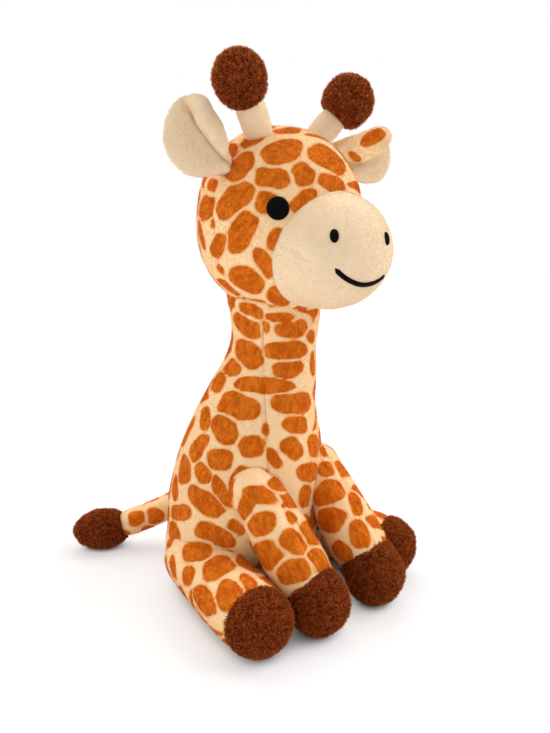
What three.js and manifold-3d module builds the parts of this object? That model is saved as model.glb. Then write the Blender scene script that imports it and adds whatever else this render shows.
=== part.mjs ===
// A plush giraffe that sits up: sewn skins, their stuffing, a pellet bag in the seat and embroidery.
// Millimetres, +Z up. It faces -Y, its left side is +X, and the origin is the middle of its seat
// on the surface that it sits on.
import * as THREE from "three";
import { mergeVertices } from "three/addons/utils/BufferGeometryUtils.js";
import Module from "manifold-3d";

const wasm = await Module();
wasm.setup();

// Cloth and clearances
const CLOTH = 2.4; // plush cloth with its pile
const GAP = 0.3; // between two pieces that are sewn or packed together
const REST_FLAT = 0.5; // how deep a stuffed piece presses flat where it rests
const SMALL_BALL = 16; // round roots narrower than this have fewer facets

// Trunk: seat, belly, chest and neck
const NECK_HEIGHT = 171;
const BELLY_WIDTH = 99;
const BELLY_DEPTH = 100;
const NECK_WIDTH = 48.6;
const NECK_FORWARD = 21.5; // how far the neck's middle stands in front of the seat's
const NECK_DOME_WIDTH = 51.2; // the round top that the head sits on
// height, belly share of the width, forward share of the middle
const trunkShares = [
  [0, 0.56, -0.24],
  [0.016, 0.72, -0.24],
  [0.05, 0.87, -0.25],
  [0.1, 0.96, -0.25],
  [0.18, 1, -0.25],
  [0.26, 0.985, -0.22],
  [0.36, 0.9, -0.16],
  [0.45, 0.8, -0.04],
  [0.53, 0.69, 0.1],
  [0.6, 0.53, 0.21],
  [0.68, 0.36, 0.4],
  [0.75, 0.22, 0.62],
  [0.82, 0.08, 0.83],
  [0.88, 0.005, 0.95],
  [0.93, 0.01, 1],
  [1, 0.045, 1],
];
const LOW_RINGS_POWER = 1.3; // more than 1 draws the trunk's rings together near the floor
const NECK_HOLE = 22; // through the dome, where the stuffing goes in
const PELLET_BAG_WIDTH = 28;
const PELLET_BAG_LENGTH = 60;
const PELLET_BAG_HEIGHT = 34;

// Head
const HEAD_WIDTH = 95;
const HEAD_DEPTH = 91;
const HEAD_HEIGHT = 98;
const HEAD_ABOVE_NECK = 47; // its middle above the neck's seam
const HEAD_BEFORE_NECK = 4.5; // its middle in front of the neck's
const HEAD_MIDDLE = new THREE.Vector3(0, -NECK_FORWARD - HEAD_BEFORE_NECK, NECK_HEIGHT + HEAD_ABOVE_NECK);
const HEAD_JAW_POWER = 2.25; // 2 is an ellipse, more is a fuller jaw
const onHead = (fromMiddle) => HEAD_MIDDLE.clone().add(fromMiddle);

// Muzzle
const MUZZLE_WIDTH = 68.5;
const MUZZLE_HEIGHT = 62.6;
const MUZZLE_REACH = 34; // from its middle to its front
const MUZZLE_FROM_HEAD = new THREE.Vector3(0, -33.8, -14.6);
const MUZZLE_MIDDLE = onHead(MUZZLE_FROM_HEAD);
const MUZZLE_POWER = 2.15;

// Arms, which are the front legs, and their hooves
const SHOULDER_INSIDE = 23.3; // from the belly's side
const FRONT_HOOF_INSIDE = 27; // from the belly's side
const SHOULDER = new THREE.Vector3(BELLY_WIDTH / 2 - SHOULDER_INSIDE, -32, 70);
const FRONT_HOOF = new THREE.Vector3(BELLY_WIDTH / 2 - FRONT_HOOF_INSIDE, -79.5, 17.2);
const SHOULDER_WIDTH = 29;
const ARM_WIDTH = 33.4;
const FRONT_HOOF_WIDTH = 35.4;
const FRONT_HOOF_SEAM_SHARE = 0.82; // share of the way from the shoulder to the hoof's middle
const ARM_LIFT = 50; // degrees that it lifts forward
// share of the way, share of the change from the root's width to the limb's
const armShares = [
  [0, 0],
  [0.3, 0.45],
  [0.6, 0.9],
  [1, 1],
];

// Hind legs and their hooves
const HIP_INSIDE = 7.9; // from the belly's side
const HIND_HOOF_OUTSIDE = 8.5; // from the belly's side
const HIP = new THREE.Vector3(BELLY_WIDTH / 2 - HIP_INSIDE, 9.2, 18.3);
const HIND_HOOF = new THREE.Vector3(BELLY_WIDTH / 2 + HIND_HOOF_OUTSIDE, -65, 18.1);
const HIP_WIDTH = 36;
const LEG_WIDTH = 39;
const LEG_HEIGHT = 37; // it lies a little flat
const HIND_HOOF_WIDTH = 37.2;
const HIND_HOOF_SEAM_SHARE = 0.93;
const legShares = [
  [0, 0],
  [0.3, 0.8],
  [0.55, 1],
  [1, 0.6],
];
const HOOF_POWER = 2.06; // 2 is a round end, more is a blunter one

// Horns: a cream stem and a knob
const HORN_FOOT_FROM_HEAD = new THREE.Vector3(22, -10, 42);
const HORN_FOOT = onHead(HORN_FOOT_FROM_HEAD);
const KNOB_FROM_HEAD = new THREE.Vector3(40.9, -12.8, 66.6);
const KNOB_MIDDLE = onHead(KNOB_FROM_HEAD);
const STEM_FOOT_WIDTH = 14.4;
const STEM_WIDTH = 15.6;
const KNOB_WIDTH = 27.6;
const KNOB_NECK = 13.4; // from the knob's hem to its middle
// share of the way from hem to middle, share of the change from the stem's width to the knob's
const knobShares = [
  [0, 0.02],
  [0.1, 0.3],
  [0.3, 0.62],
  [0.6, 0.9],
  [1, 1],
];

// Ears: a spotted back and a cream lining
const EAR_ROOT_FROM_HEAD = new THREE.Vector3(39, -3.5, 25);
const EAR_ROOT = onHead(EAR_ROOT_FROM_HEAD);
const EAR_LENGTH = 49.5;
const EAR_WIDTH = 36;
const EAR_ROOT_WIDTH = 17; // the round root in its socket
const EAR_BACK_THICKNESS = 3.4;
const EAR_LINING_THICKNESS = 2.8;
const EAR_RIM_SHARE = 0.9; // how much of its thickness it loses at its rim
const EAR_INWARD = 9; // degrees that it faces in from straight ahead
const EAR_LIFT = { left: 27, right: 23 }; // degrees above level, as each one is sewn
const EAR_CLEARANCE = 1.4; // room for it to bend
const EAR_CURL = 78; // degrees that each half of its root curls forward
// share of the length, share of the width, share of the curl
const earShares = [
  [0, 0.3, 1],
  [0.12, 0.38, 0.95],
  [0.3, 0.7, 0.74],
  [0.46, 0.94, 0.56],
  [0.62, 1, 0.46],
  [0.78, 0.9, 0.38],
  [0.9, 0.66, 0.32],
  [0.97, 0.38, 0.28],
  [1, 0.14, 0.25],
];

// Tail and its tuft
const TAIL_ROOT_WIDTH = 16;
const TAIL_WIDTH = 17.2;
const TUFT_WIDTH = 26.4;
const TAIL_SWING = 60; // degrees that it swings round behind the seat
const TUFT_SEAM_SHARE = 0.62; // share of the tail's route where the tuft begins
const tailRoute = [
  new THREE.Vector3(-1, 48, 40),
  new THREE.Vector3(-10, 57, 33),
  new THREE.Vector3(-22, 67, 25),
  new THREE.Vector3(-34, 76, 18.8),
  new THREE.Vector3(-46, 85, 14.4),
  new THREE.Vector3(-58, 94.5, 12.8),
  new THREE.Vector3(-70, 104, 12.4),
];
// share of the route, share of the change from the root's width to the tail's
const tailShares = [
  [0, 0],
  [0.25, 0.6],
  [0.6, 1],
  [1, 1],
];
// share of the route, share of the tuft's width
const tuftShares = [
  [0.5, 0.7],
  [0.62, 0.76],
  [0.72, 0.96],
  [0.82, 1],
  [0.92, 0.78],
  [1, 0.5],
];

// Embroidery
const THREAD = 0.9; // how far it stands above the cloth
const EYE_WIDTH = 11.8;
const EYE_FROM_HEAD = new THREE.Vector3(33.7, -31.5, 6.2);
const EYE_PLACE = onHead(EYE_FROM_HEAD);
const NOSTRIL_WIDTH = 4.4;
const NOSTRIL_HEIGHT = 6.6;
const NOSTRIL_FROM_HEAD = new THREE.Vector3(21, -56.6, -7.6);
const NOSTRIL_PLACE = onHead(NOSTRIL_FROM_HEAD);
const MOUTH_WIDTH = 43.5;
const MOUTH_SAG = 8;
const MOUTH_LINE = 1.9;
const MOUTH_BELOW_HEAD = 22.5; // its corners below the head's middle
const SPOT_SIDES = 14; // of an eye or a nostril
const MOUTH_SIDES = 12; // along the mouth

const COLOURS = {
  spotted: 0xe2a360,
  cream: 0xf1e0c0,
  brown: 0x6e3417,
  thread: 0x15110f,
  fibre: 0xf6f5f0,
  cotton: 0xe8e2d4,
};

const X = new THREE.Vector3(1, 0, 0);
const Z = new THREE.Vector3(0, 0, 1);
const FINE = 1; // facets of what shows
const COARSE = 0.5; // facets of what is inside
const MIDDLING = 0.75; // facets of the trunk's hollow, whose wall bends both ways

function cloth(colour, roughness = 0.95) {
  return new THREE.MeshStandardMaterial({ color: colour, roughness, metalness: 0 });
}

// A smooth value of each column of a table, at one place of its first column.
function readShares(rows, at) {
  const last = rows.length - 1;
  let i = 0;
  while (i < last - 1 && at > rows[i + 1][0]) i += 1;
  const span = rows[i + 1][0] - rows[i][0];
  const t = THREE.MathUtils.clamp((at - rows[i][0]) / span, 0, 1);
  const slope = (k, column) => {
    const before = rows[Math.max(k - 1, 0)];
    const after = rows[Math.min(k + 1, last)];
    return ((after[column] - before[column]) / (after[0] - before[0])) * span;
  };
  return rows[i].map((start, column) => {
    const end = rows[i + 1][column];
    const rise = slope(i, column) * t * (1 - t) ** 2 - slope(i + 1, column) * t * t * (1 - t);
    return start + (end - start) * t * t * (3 - 2 * t) + rise;
  });
}

// A closed skin over rings of points that run anticlockwise about the way they advance. Two skins
// that lie face to face split their squares opposite ways, so that their facets match.
function skinOver(rings, startPole, endPole, splitBack = false) {
  const sides = rings[0].length;
  const points = rings.flat();
  const index = [];
  for (let r = 0; r < rings.length - 1; r += 1) {
    for (let i = 0; i < sides; i += 1) {
      const a = r * sides + i;
      const b = r * sides + ((i + 1) % sides);
      const [c, d] = [b + sides, a + sides];
      index.push(...(splitBack ? [a, b, d, b, c, d] : [a, b, c, a, c, d]));
    }
  }
  const start = points.push(startPole) - 1;
  const end = points.push(endPole) - 1;
  const lastRing = (rings.length - 1) * sides;
  for (let i = 0; i < sides; i += 1) {
    const j = (i + 1) % sides;
    index.push(start, j, i, end, lastRing + i, lastRing + j);
  }
  const geometry = new THREE.BufferGeometry();
  geometry.setAttribute("position", new THREE.Float32BufferAttribute(points.flatMap((p) => p.toArray()), 3));
  geometry.setIndex(index);
  return geometry;
}

function ellipseRing(middle, across, upward, sides) {
  return Array.from({ length: sides }, (_, i) => {
    const angle = (i / sides) * Math.PI * 2;
    return middle.clone().addScaledVector(across, Math.cos(angle)).addScaledVector(upward, Math.sin(angle));
  });
}

// Places along a form and how full it is there, with round ends.
function stationsOf(length, startRound, endRound, power, steps, endSteps) {
  const full = (turn, round) => {
    const distance = round * (1 - Math.cos(turn));
    return { distance, fullness: (1 - (1 - distance / round) ** power) ** (1 / power) };
  };
  const turns = (count) => Array.from({ length: count }, (_, k) => ((k + 1) / (count + 1)) * (Math.PI / 2));
  const stations = [];
  if (startRound > 0) stations.push(...turns(endSteps).map((turn) => full(turn, startRound)));
  const straight = length - startRound - endRound;
  for (let k = 0; k <= steps; k += 1) {
    stations.push({ distance: startRound + (straight * k) / Math.max(steps, 1), fullness: 1 });
  }
  if (endRound > 0) {
    const end = turns(endSteps).map((turn) => full(turn, endRound)).reverse();
    stations.push(...end.map((s) => ({ distance: length - s.distance, fullness: s.fullness })));
  }
  return stations;
}

// A stuffed form along a path. sizeAt gives [half across, half upward] at a share of the path, and
// offset makes the whole form thicker or thinner.
function stuffed(form, offset = 0) {
  const { path, sizeAt, startRound = 0, endRound = 0, power = 2, steps, endSteps = 4, sides } = form;
  const length = path.getLength();
  const grow = (round) => (round > 0 ? round + offset : 0);
  const startPast = startRound > 0 ? offset : 0;
  const endPast = endRound > 0 ? offset : 0;
  const total = length + startPast + endPast;
  const stations = stationsOf(total, grow(startRound), grow(endRound), power, steps, endSteps);
  const pointAt = (distance) => {
    const share = THREE.MathUtils.clamp(distance / length, 0, 1);
    const past = distance - share * length;
    return path.getPointAt(share).addScaledVector(path.getTangentAt(share), past);
  };
  const rings = stations.map(({ distance, fullness }) => {
    const share = THREE.MathUtils.clamp((distance - startPast) / length, 0, 1);
    const along = path.getTangentAt(share);
    const across = X.clone().addScaledVector(along, -X.dot(along)).normalize();
    const upward = along.clone().cross(across);
    const [halfAcross, halfUpward] = sizeAt(share).map((half) => (half + offset) * fullness);
    across.multiplyScalar(halfAcross);
    upward.multiplyScalar(halfUpward);
    return ellipseRing(pointAt(distance - startPast), across, upward, sides);
  });
  return skinOver(rings, pointAt(-startPast), pointAt(length + endPast));
}

function toSolid(geometry) {
  const bare = geometry.clone();
  bare.deleteAttribute("normal");
  bare.deleteAttribute("uv");
  const merged = mergeVertices(bare);
  const vertProperties = new Float32Array(merged.attributes.position.array);
  const triVerts = new Uint32Array(merged.index.array);
  return new wasm.Manifold(new wasm.Mesh({ numProp: 3, vertProperties, triVerts }));
}

function toGeometry(solid) {
  const mesh = solid.getMesh();
  const geometry = new THREE.BufferGeometry();
  const corners = [];
  for (let v = 0; v < mesh.numVert; v += 1) {
    corners.push(...mesh.vertProperties.slice(v * mesh.numProp, v * mesh.numProp + 3));
  }
  geometry.setAttribute("position", new THREE.Float32BufferAttribute(corners, 3));
  geometry.setIndex(Array.from(mesh.triVerts));
  geometry.computeVertexNormals();
  return geometry;
}

// A ball that holds the whole of a true ball of this radius, and how far its corners reach.
function ballReach(radius, detail = FINE) {
  const around = radius > SMALL_BALL / 2 && detail === FINE ? 14 : 10;
  const down = around / 2 + 1;
  return { around, down, reach: radius / (Math.cos(Math.PI / around) * Math.cos(Math.PI / down / 2)) };
}

function ballRound(middle, radius, detail = FINE) {
  const { around, down, reach } = ballReach(radius, detail);
  return toSolid(new THREE.SphereGeometry(reach, around, down).translate(...middle.toArray()));
}

const SWING_CHECKS = [0.5, 1]; // shares of its range where a limb is trimmed
const even = (width) => [width / 2, width / 2];

// What is left of an attached form outside its host, with its round root kept.
function rooted(form, hostGrown, root, rootRadius) {
  return form.subtract(hostGrown.subtract(ballRound(root, rootRadius)));
}

// Everything on the far side of a plane, near enough to matter.
function beyond(point, direction) {
  const side = NECK_HEIGHT + HEAD_HEIGHT;
  const box = new THREE.BoxGeometry(side, side, side).translate(0, 0, side / 2);
  box.applyQuaternion(new THREE.Quaternion().setFromUnitVectors(Z, direction.clone().normalize()));
  return toSolid(box.translate(...point.toArray()));
}

const floor = (height = 0) => beyond(new THREE.Vector3(0, 0, height), Z.clone().negate());
const column = (radius, from, to) => {
  const shape = new THREE.CylinderGeometry(radius, radius, to.z - from.z, ballReach(radius).around);
  return toSolid(shape.rotateX(Math.PI / 2).translate(from.x, from.y, (from.z + to.z) / 2));
};

const SIDES = { left: 1, right: -1 };
const INSIDE = -CLOTH; // a skin's inner face
const FILLING = -CLOTH - GAP; // the face of what fills it

function onSide(vector, side) {
  return new THREE.Vector3(vector.x * SIDES[side], vector.y, vector.z);
}

const part = new THREE.Group();

function add(name, solid, material) {
  const mesh = new THREE.Mesh(toGeometry(solid), material);
  mesh.name = name;
  part.add(mesh);
}

// Forms of the two large pieces, at any offset from their outer faces
const NECK_PIVOT = new THREE.Vector3(0, -NECK_FORWARD, NECK_HEIGHT);

function trunkShape(offset, detail) {
  const sides = Math.round(22 * detail);
  const steps = Math.round(12 * detail);
  const domeSteps = Math.round(4 * detail);
  const rings = [];
  for (let k = 0; k <= steps; k += 1) {
    const share = (k / steps) ** LOW_RINGS_POWER;
    const [, swell, forward] = readShares(trunkShares, share);
    const half = (width) => NECK_WIDTH / 2 + ((width - NECK_WIDTH) / 2) * swell + offset;
    const height = THREE.MathUtils.lerp(-REST_FLAT - offset, NECK_HEIGHT, share);
    const middle = new THREE.Vector3(0, -NECK_FORWARD * forward, height);
    const upward = new THREE.Vector3(0, half(BELLY_DEPTH), 0);
    rings.push(ellipseRing(middle, X.clone().multiplyScalar(half(BELLY_WIDTH)), upward, sides));
  }
  const dome = NECK_DOME_WIDTH / 2 + offset;
  for (let k = 1; k <= domeSteps; k += 1) {
    const turn = (k / (domeSteps + 1)) * (Math.PI / 2);
    const middle = NECK_PIVOT.clone().addScaledVector(Z, dome * Math.sin(turn));
    const radius = dome * Math.cos(turn);
    rings.push(ellipseRing(middle, X.clone().multiplyScalar(radius), new THREE.Vector3(0, radius, 0), sides));
  }
  const seat = new THREE.Vector3(0, -NECK_FORWARD * trunkShares[0][2], -REST_FLAT - offset);
  const top = NECK_PIVOT.clone().addScaledVector(Z, dome);
  return skinOver(rings, seat, top);
}

function trunkForm(offset, detail = FINE) {
  return toSolid(trunkShape(offset, detail)).subtract(floor(Math.max(-offset, 0)));
}

// Where the trunk would be, seen from a limb that has turned about its root.
function trunkSeenFrom(root, axis, degrees, offset) {
  const turn = new THREE.Quaternion().setFromAxisAngle(axis, -THREE.MathUtils.degToRad(degrees));
  const shape = trunkShape(offset, FINE).translate(...root.clone().negate().toArray());
  return toSolid(shape.applyQuaternion(turn).translate(...root.toArray()));
}

function headForm(offset, detail = FINE) {
  const half = HEAD_HEIGHT / 2;
  const foot = HEAD_MIDDLE.clone().addScaledVector(Z, -half);
  const crown = HEAD_MIDDLE.clone().addScaledVector(Z, half);
  const form = {
    path: new THREE.LineCurve3(foot, crown),
    sizeAt: () => [HEAD_WIDTH / 2, HEAD_DEPTH / 2],
    startRound: half,
    endRound: half,
    power: HEAD_JAW_POWER,
    steps: 0,
    endSteps: Math.round(7 * detail),
    sides: Math.round(22 * detail),
  };
  return toSolid(stuffed(form, offset));
}

function muzzleForm(offset, detail = FINE) {
  const back = MUZZLE_MIDDLE.clone().setY(HEAD_MIDDLE.y);
  const front = MUZZLE_MIDDLE.clone().setY(MUZZLE_MIDDLE.y - MUZZLE_REACH);
  const form = {
    path: new THREE.LineCurve3(back, front),
    sizeAt: () => [MUZZLE_WIDTH / 2, MUZZLE_HEIGHT / 2],
    startRound: MUZZLE_REACH / 2,
    endRound: MUZZLE_REACH,
    power: MUZZLE_POWER,
    steps: 1,
    endSteps: Math.round(6 * detail),
    sides: Math.round(22 * detail),
  };
  return toSolid(stuffed(form, offset));
}

// A limb in two skins: a near one with a round root in its host, and a far one. A thick limb holds
// one stuffing, and a slim one is left whole. One that swings is trimmed to clear the trunk.
function limb({ near, far, filling, nearForm, farForm, seam, root, rootRadius, host, swing, materials }) {
  const seamPoint = (past) => seam.point.clone().addScaledVector(seam.along, past);
  const hostsAt = (offset) => {
    const seenAt = (share) => trunkSeenFrom(root, swing.axis, swing.degrees * share, offset);
    return [host(offset), ...(swing ? SWING_CHECKS.map(seenAt) : [])];
  };
  const inner = (offset) => lessAll(nearForm(offset, COARSE), [...hostsAt(GAP - offset), floor(-offset)]);
  const trimmed = hostsAt(GAP).reduce((left, cutter) => rooted(left, cutter, root, rootRadius), nearForm(0));
  const nearWhole = trimmed.subtract(beyond(seamPoint(-GAP / 2), seam.along));
  const farWhole = farForm(0).subtract(beyond(seamPoint(GAP / 2), seam.along.clone().negate()));
  const hollowed = (whole) => (filling ? whole.subtract(inner(INSIDE)) : whole).subtract(floor());
  add(near, hollowed(nearWhole), materials.near);
  add(far, hollowed(farWhole), materials.far);
  if (filling) add(filling, inner(FILLING), materials.filling);
}

function straightLimb(side, limbSizes) {
  const { root, end, rootWidth, width, endWidth, tallShare = 1, seamShare, shares, ...rest } = limbSizes;
  const from = onSide(root, side);
  const to = onSide(end, side);
  const along = to.clone().sub(from).normalize();
  const reach = to.distanceTo(from);
  const path = new THREE.LineCurve3(
    from.clone().addScaledVector(along, -rootWidth / 2),
    to.clone().addScaledVector(along, endWidth / 2),
  );
  const past = rootWidth / 2 / path.getLength();
  const wayAt = (share) => THREE.MathUtils.clamp(((share - past) * path.getLength()) / reach, 0, 1);
  const widthAt = (share) => rootWidth + (width - rootWidth) * readShares(shares, wayAt(share))[1];
  const endWidthAt = (share) => {
    const towardEnd = THREE.MathUtils.smoothstep(wayAt(share), seamShare, 1);
    return THREE.MathUtils.lerp(widthAt(share) * tallShare, endWidth, towardEnd);
  };
  const shape = (size, detail) => ({
    path,
    sizeAt: size,
    startRound: rootWidth / 2,
    endRound: endWidth / 2,
    steps: Math.round(5 * detail),
    endSteps: Math.round(4 * detail),
    sides: Math.round(16 * detail),
  });
  const section = (share) => [widthAt(share) / 2, (widthAt(share) * tallShare) / 2];
  const nearForm = (offset, detail = FINE) => toSolid(stuffed(shape(section, detail), offset));
  const blunt = (detail) => ({ ...shape((s) => even(endWidthAt(s)), detail), power: HOOF_POWER });
  const farForm = (offset, detail = FINE) => toSolid(stuffed(blunt(detail), offset));
  const seam = { point: from.clone().addScaledVector(along, reach * seamShare), along };
  limb({ ...rest, nearForm, farForm, seam, root: from, rootRadius: rootWidth / 2 });
}

const fibre = cloth(COLOURS.fibre, 1);
const spotted = () => cloth(COLOURS.spotted);
const cream = () => cloth(COLOURS.cream);
const brown = () => cloth(COLOURS.brown);

function addArms() {
  for (const side of Object.keys(SIDES)) {
    straightLimb(side, {
      near: `arm_${side}`,
      far: `front_hoof_${side}`,
      filling: `arm_stuffing_${side}`,
      root: SHOULDER,
      end: FRONT_HOOF,
      rootWidth: SHOULDER_WIDTH,
      width: ARM_WIDTH,
      endWidth: FRONT_HOOF_WIDTH,
      seamShare: FRONT_HOOF_SEAM_SHARE,
      shares: armShares,
      host: trunkForm,
      swing: { axis: X.clone().negate(), degrees: ARM_LIFT },
      materials: { near: spotted(), far: brown(), filling: fibre },
    });
  }
}

function addLegs() {
  for (const side of Object.keys(SIDES)) {
    straightLimb(side, {
      near: `hind_leg_${side}`,
      far: `hind_hoof_${side}`,
      filling: `leg_stuffing_${side}`,
      root: HIP,
      end: HIND_HOOF,
      rootWidth: HIP_WIDTH,
      width: LEG_WIDTH,
      endWidth: HIND_HOOF_WIDTH,
      tallShare: LEG_HEIGHT / LEG_WIDTH,
      seamShare: HIND_HOOF_SEAM_SHARE,
      shares: legShares,
      host: trunkForm,
      materials: { near: spotted(), far: brown(), filling: fibre },
    });
  }
}

function addHorns() {
  for (const side of Object.keys(SIDES)) {
    const foot = onSide(HORN_FOOT, side);
    const knob = onSide(KNOB_MIDDLE, side);
    const along = knob.clone().sub(foot).normalize();
    const radius = STEM_FOOT_WIDTH / 2;
    const hem = knob.clone().addScaledVector(along, -KNOB_NECK);
    const stemPath = new THREE.LineCurve3(foot.clone().addScaledVector(along, -radius), knob);
    const knobPath = new THREE.LineCurve3(hem, knob.clone().addScaledVector(along, KNOB_WIDTH / 2));
    const reach = knob.distanceTo(foot);
    const stemWidth = (share) => {
      const way = (share * stemPath.getLength() - radius) / reach;
      return STEM_FOOT_WIDTH + (STEM_WIDTH - STEM_FOOT_WIDTH) * THREE.MathUtils.clamp(way, 0, 1);
    };
    const knobWidth = (share) => {
      const way = THREE.MathUtils.clamp((share * knobPath.getLength()) / KNOB_NECK, 0, 1);
      return STEM_WIDTH + (KNOB_WIDTH - STEM_WIDTH) * readShares(knobShares, way)[1];
    };
    const nearForm = (offset, detail = FINE) => toSolid(stuffed({
      path: stemPath,
      sizeAt: (share) => even(stemWidth(share)),
      startRound: radius,
      steps: 2,
      endSteps: 3,
      sides: Math.round(14 * detail),
    }, offset));
    const farForm = (offset, detail = FINE) => toSolid(stuffed({
      path: knobPath,
      sizeAt: (share) => even(knobWidth(share)),
      endRound: KNOB_WIDTH / 2,
      steps: Math.round(4 * detail),
      endSteps: Math.round(4 * detail),
      sides: Math.round(16 * detail),
    }, offset));
    limb({
      near: `horn_stem_${side}`,
      far: `horn_knob_${side}`,
      nearForm,
      farForm,
      seam: { point: hem, along },
      root: foot,
      rootRadius: radius,
      host: headForm,
      materials: { near: cream(), far: brown() },
    });
  }
}

const tailPath = new THREE.CatmullRomCurve3(tailRoute);
const TAIL_ROOT = tailRoute[0];

function addTail() {
  const length = tailPath.getLength();
  const radius = TAIL_ROOT_WIDTH / 2;
  const first = tailPath.getTangentAt(0);
  const start = TAIL_ROOT.clone().addScaledVector(first, -radius);
  const path = new THREE.CatmullRomCurve3([start, ...tailRoute]);
  const wayAt = (share) => THREE.MathUtils.clamp((share * path.getLength() - radius) / length, 0, 1);
  const tailWidth = (share) => {
    const change = readShares(tailShares, wayAt(share))[1];
    return TAIL_ROOT_WIDTH + (TAIL_WIDTH - TAIL_ROOT_WIDTH) * change;
  };
  const tuftWidth = (share) => {
    const way = Math.max(wayAt(share), tuftShares[0][0]);
    return TUFT_WIDTH * readShares(tuftShares, way)[1];
  };
  const shape = (size, detail) => ({
    path,
    sizeAt: (share) => even(size(share)),
    startRound: radius,
    endRound: radius,
    steps: Math.round(10 * detail),
    endSteps: 3,
    sides: Math.round(14 * detail),
  });
  limb({
    near: "tail",
    far: "tail_tuft",
    nearForm: (offset, detail = FINE) => toSolid(stuffed(shape(tailWidth, detail), offset)),
    farForm: (offset, detail = FINE) => toSolid(stuffed(shape(tuftWidth, detail), offset)),
    seam: { point: tailPath.getPointAt(TUFT_SEAM_SHARE), along: tailPath.getTangentAt(TUFT_SEAM_SHARE) },
    root: TAIL_ROOT,
    rootRadius: radius,
    host: trunkForm,
    swing: { axis: Z.clone().negate(), degrees: TAIL_SWING },
    materials: { near: spotted(), far: brown() },
  });
}

// Each ear is two layers of one curled sheet, with thin round edges.
function earLayer(side, nearDepth, farDepth, splitBack) {
  const lift = THREE.MathUtils.degToRad(EAR_LIFT[side]);
  const turn = -THREE.MathUtils.degToRad(EAR_INWARD) * SIDES[side];
  const outward = new THREE.Vector3(Math.cos(turn) * SIDES[side], Math.sin(turn) * SIDES[side], 0);
  const along = outward.multiplyScalar(Math.cos(lift)).addScaledVector(Z, Math.sin(lift));
  const facing = new THREE.Vector3(Math.sin(turn), -Math.cos(turn), 0);
  const across = facing.clone().cross(along);
  const root = onSide(EAR_ROOT, side);
  const rows = 8;
  const columns = 6;
  const rings = [];
  for (let r = 0; r <= rows; r += 1) {
    const share = r / rows;
    const [, width, curl] = readShares(earShares, share);
    const half = THREE.MathUtils.degToRad(EAR_CURL) * curl;
    const radius = (EAR_WIDTH * width) / 2 / half;
    const middle = root.clone().addScaledVector(along, share * EAR_LENGTH);
    const point = (v, depth) => {
      const angle = half * v;
      const thin = Math.sqrt(1 - EAR_RIM_SHARE * v * v);
      const reach = radius - depth * thin;
      const spot = middle.clone().addScaledVector(across, Math.sin(angle) * reach);
      return spot.addScaledVector(facing, radius - Math.cos(angle) * reach);
    };
    const shares = Array.from({ length: columns + 1 }, (_, c) => 1 - (2 * c) / columns);
    const farSide = shares.map((v) => point(v, farDepth));
    const nearSide = shares.reverse().map((v) => point(v, nearDepth));
    rings.push([...farSide, ...nearSide]);
  }
  const middleOf = (ring) => {
    const sum = ring.reduce((total, p) => total.add(p), new THREE.Vector3());
    return sum.divideScalar(ring.length);
  };
  return toSolid(skinOver(rings, middleOf(rings[0]), middleOf(rings[rows]), splitBack));
}

function addEars() {
  for (const side of Object.keys(SIDES)) {
    const root = onSide(EAR_ROOT, side);
    const grown = headForm(EAR_CLEARANCE);
    const fit = (layer) => rooted(layer, grown, root, EAR_ROOT_WIDTH / 2);
    const seat = (past) => {
      const ball = ballRound(root, EAR_ROOT_WIDTH / 2 + past);
      return ball.intersect(headForm(past - EAR_CLEARANCE));
    };
    const back = fit(earLayer(side, -EAR_BACK_THICKNESS, -GAP / 2, false));
    const lining = fit(earLayer(side, GAP / 2, EAR_LINING_THICKNESS, true)).subtract(seat(GAP));
    add(`ear_back_${side}`, back.add(seat(0).subtract(lining)), spotted());
    add(`ear_lining_${side}`, lining, cream());
  }
}

// A socket clears a round root, and what is kept of its limb, however the limb turns.
function socketOf(middle, radius, past) {
  const detail = past > GAP ? COARSE : FINE;
  return ballRound(middle, ballReach(radius).reach + past, detail);
}

function trunkSockets(past) {
  const sockets = [socketOf(TAIL_ROOT, TAIL_ROOT_WIDTH / 2, past)];
  for (const side of Object.keys(SIDES)) {
    sockets.push(socketOf(onSide(SHOULDER, side), SHOULDER_WIDTH / 2, past));
    sockets.push(socketOf(onSide(HIP, side), HIP_WIDTH / 2, past));
  }
  return sockets;
}

const neckSocket = (past) => ballRound(NECK_PIVOT, NECK_DOME_WIDTH / 2 + past);

function headSockets(past) {
  const sockets = [neckSocket(past)];
  for (const side of Object.keys(SIDES)) {
    sockets.push(socketOf(onSide(HORN_FOOT, side), STEM_FOOT_WIDTH / 2, past));
    sockets.push(socketOf(onSide(EAR_ROOT, side), EAR_ROOT_WIDTH / 2, past));
  }
  return sockets;
}

function lessAll(solid, cutters) {
  return cutters.reduce((left, cutter) => left.subtract(cutter), solid);
}

function pelletBag(offset) {
  const half = [PELLET_BAG_WIDTH / 2 + offset, PELLET_BAG_LENGTH / 2 + offset];
  const { around, down } = ballReach(half[0]);
  const shape = new THREE.SphereGeometry(1, around, down);
  shape.rotateX(Math.PI / 2).scale(half[0], half[1], PELLET_BAG_HEIGHT / 2 + offset);
  const middle = new THREE.Vector3(0, -NECK_FORWARD * trunkShares[0][2], PELLET_BAG_HEIGHT / 2);
  return toSolid(shape.translate(...middle.toArray())).subtract(floor(CLOTH + GAP - Math.max(offset, 0)));
}

function addTrunk() {
  const domeTop = NECK_PIVOT.clone().addScaledVector(Z, NECK_DOME_WIDTH);
  const hole = column(NECK_HOLE / 2, NECK_PIVOT, domeTop);
  const hollow = lessAll(trunkForm(INSIDE, MIDDLING), trunkSockets(GAP - INSIDE));
  const skin = lessAll(trunkForm(0), trunkSockets(GAP));
  add("trunk", skin.subtract(hollow).subtract(hole), spotted());
  const filling = lessAll(trunkForm(FILLING, MIDDLING), trunkSockets(GAP - FILLING));
  add("trunk_stuffing", filling.subtract(pelletBag(GAP)), fibre);
  add("pellet_bag", pelletBag(0), cloth(COLOURS.cotton));
}

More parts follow.
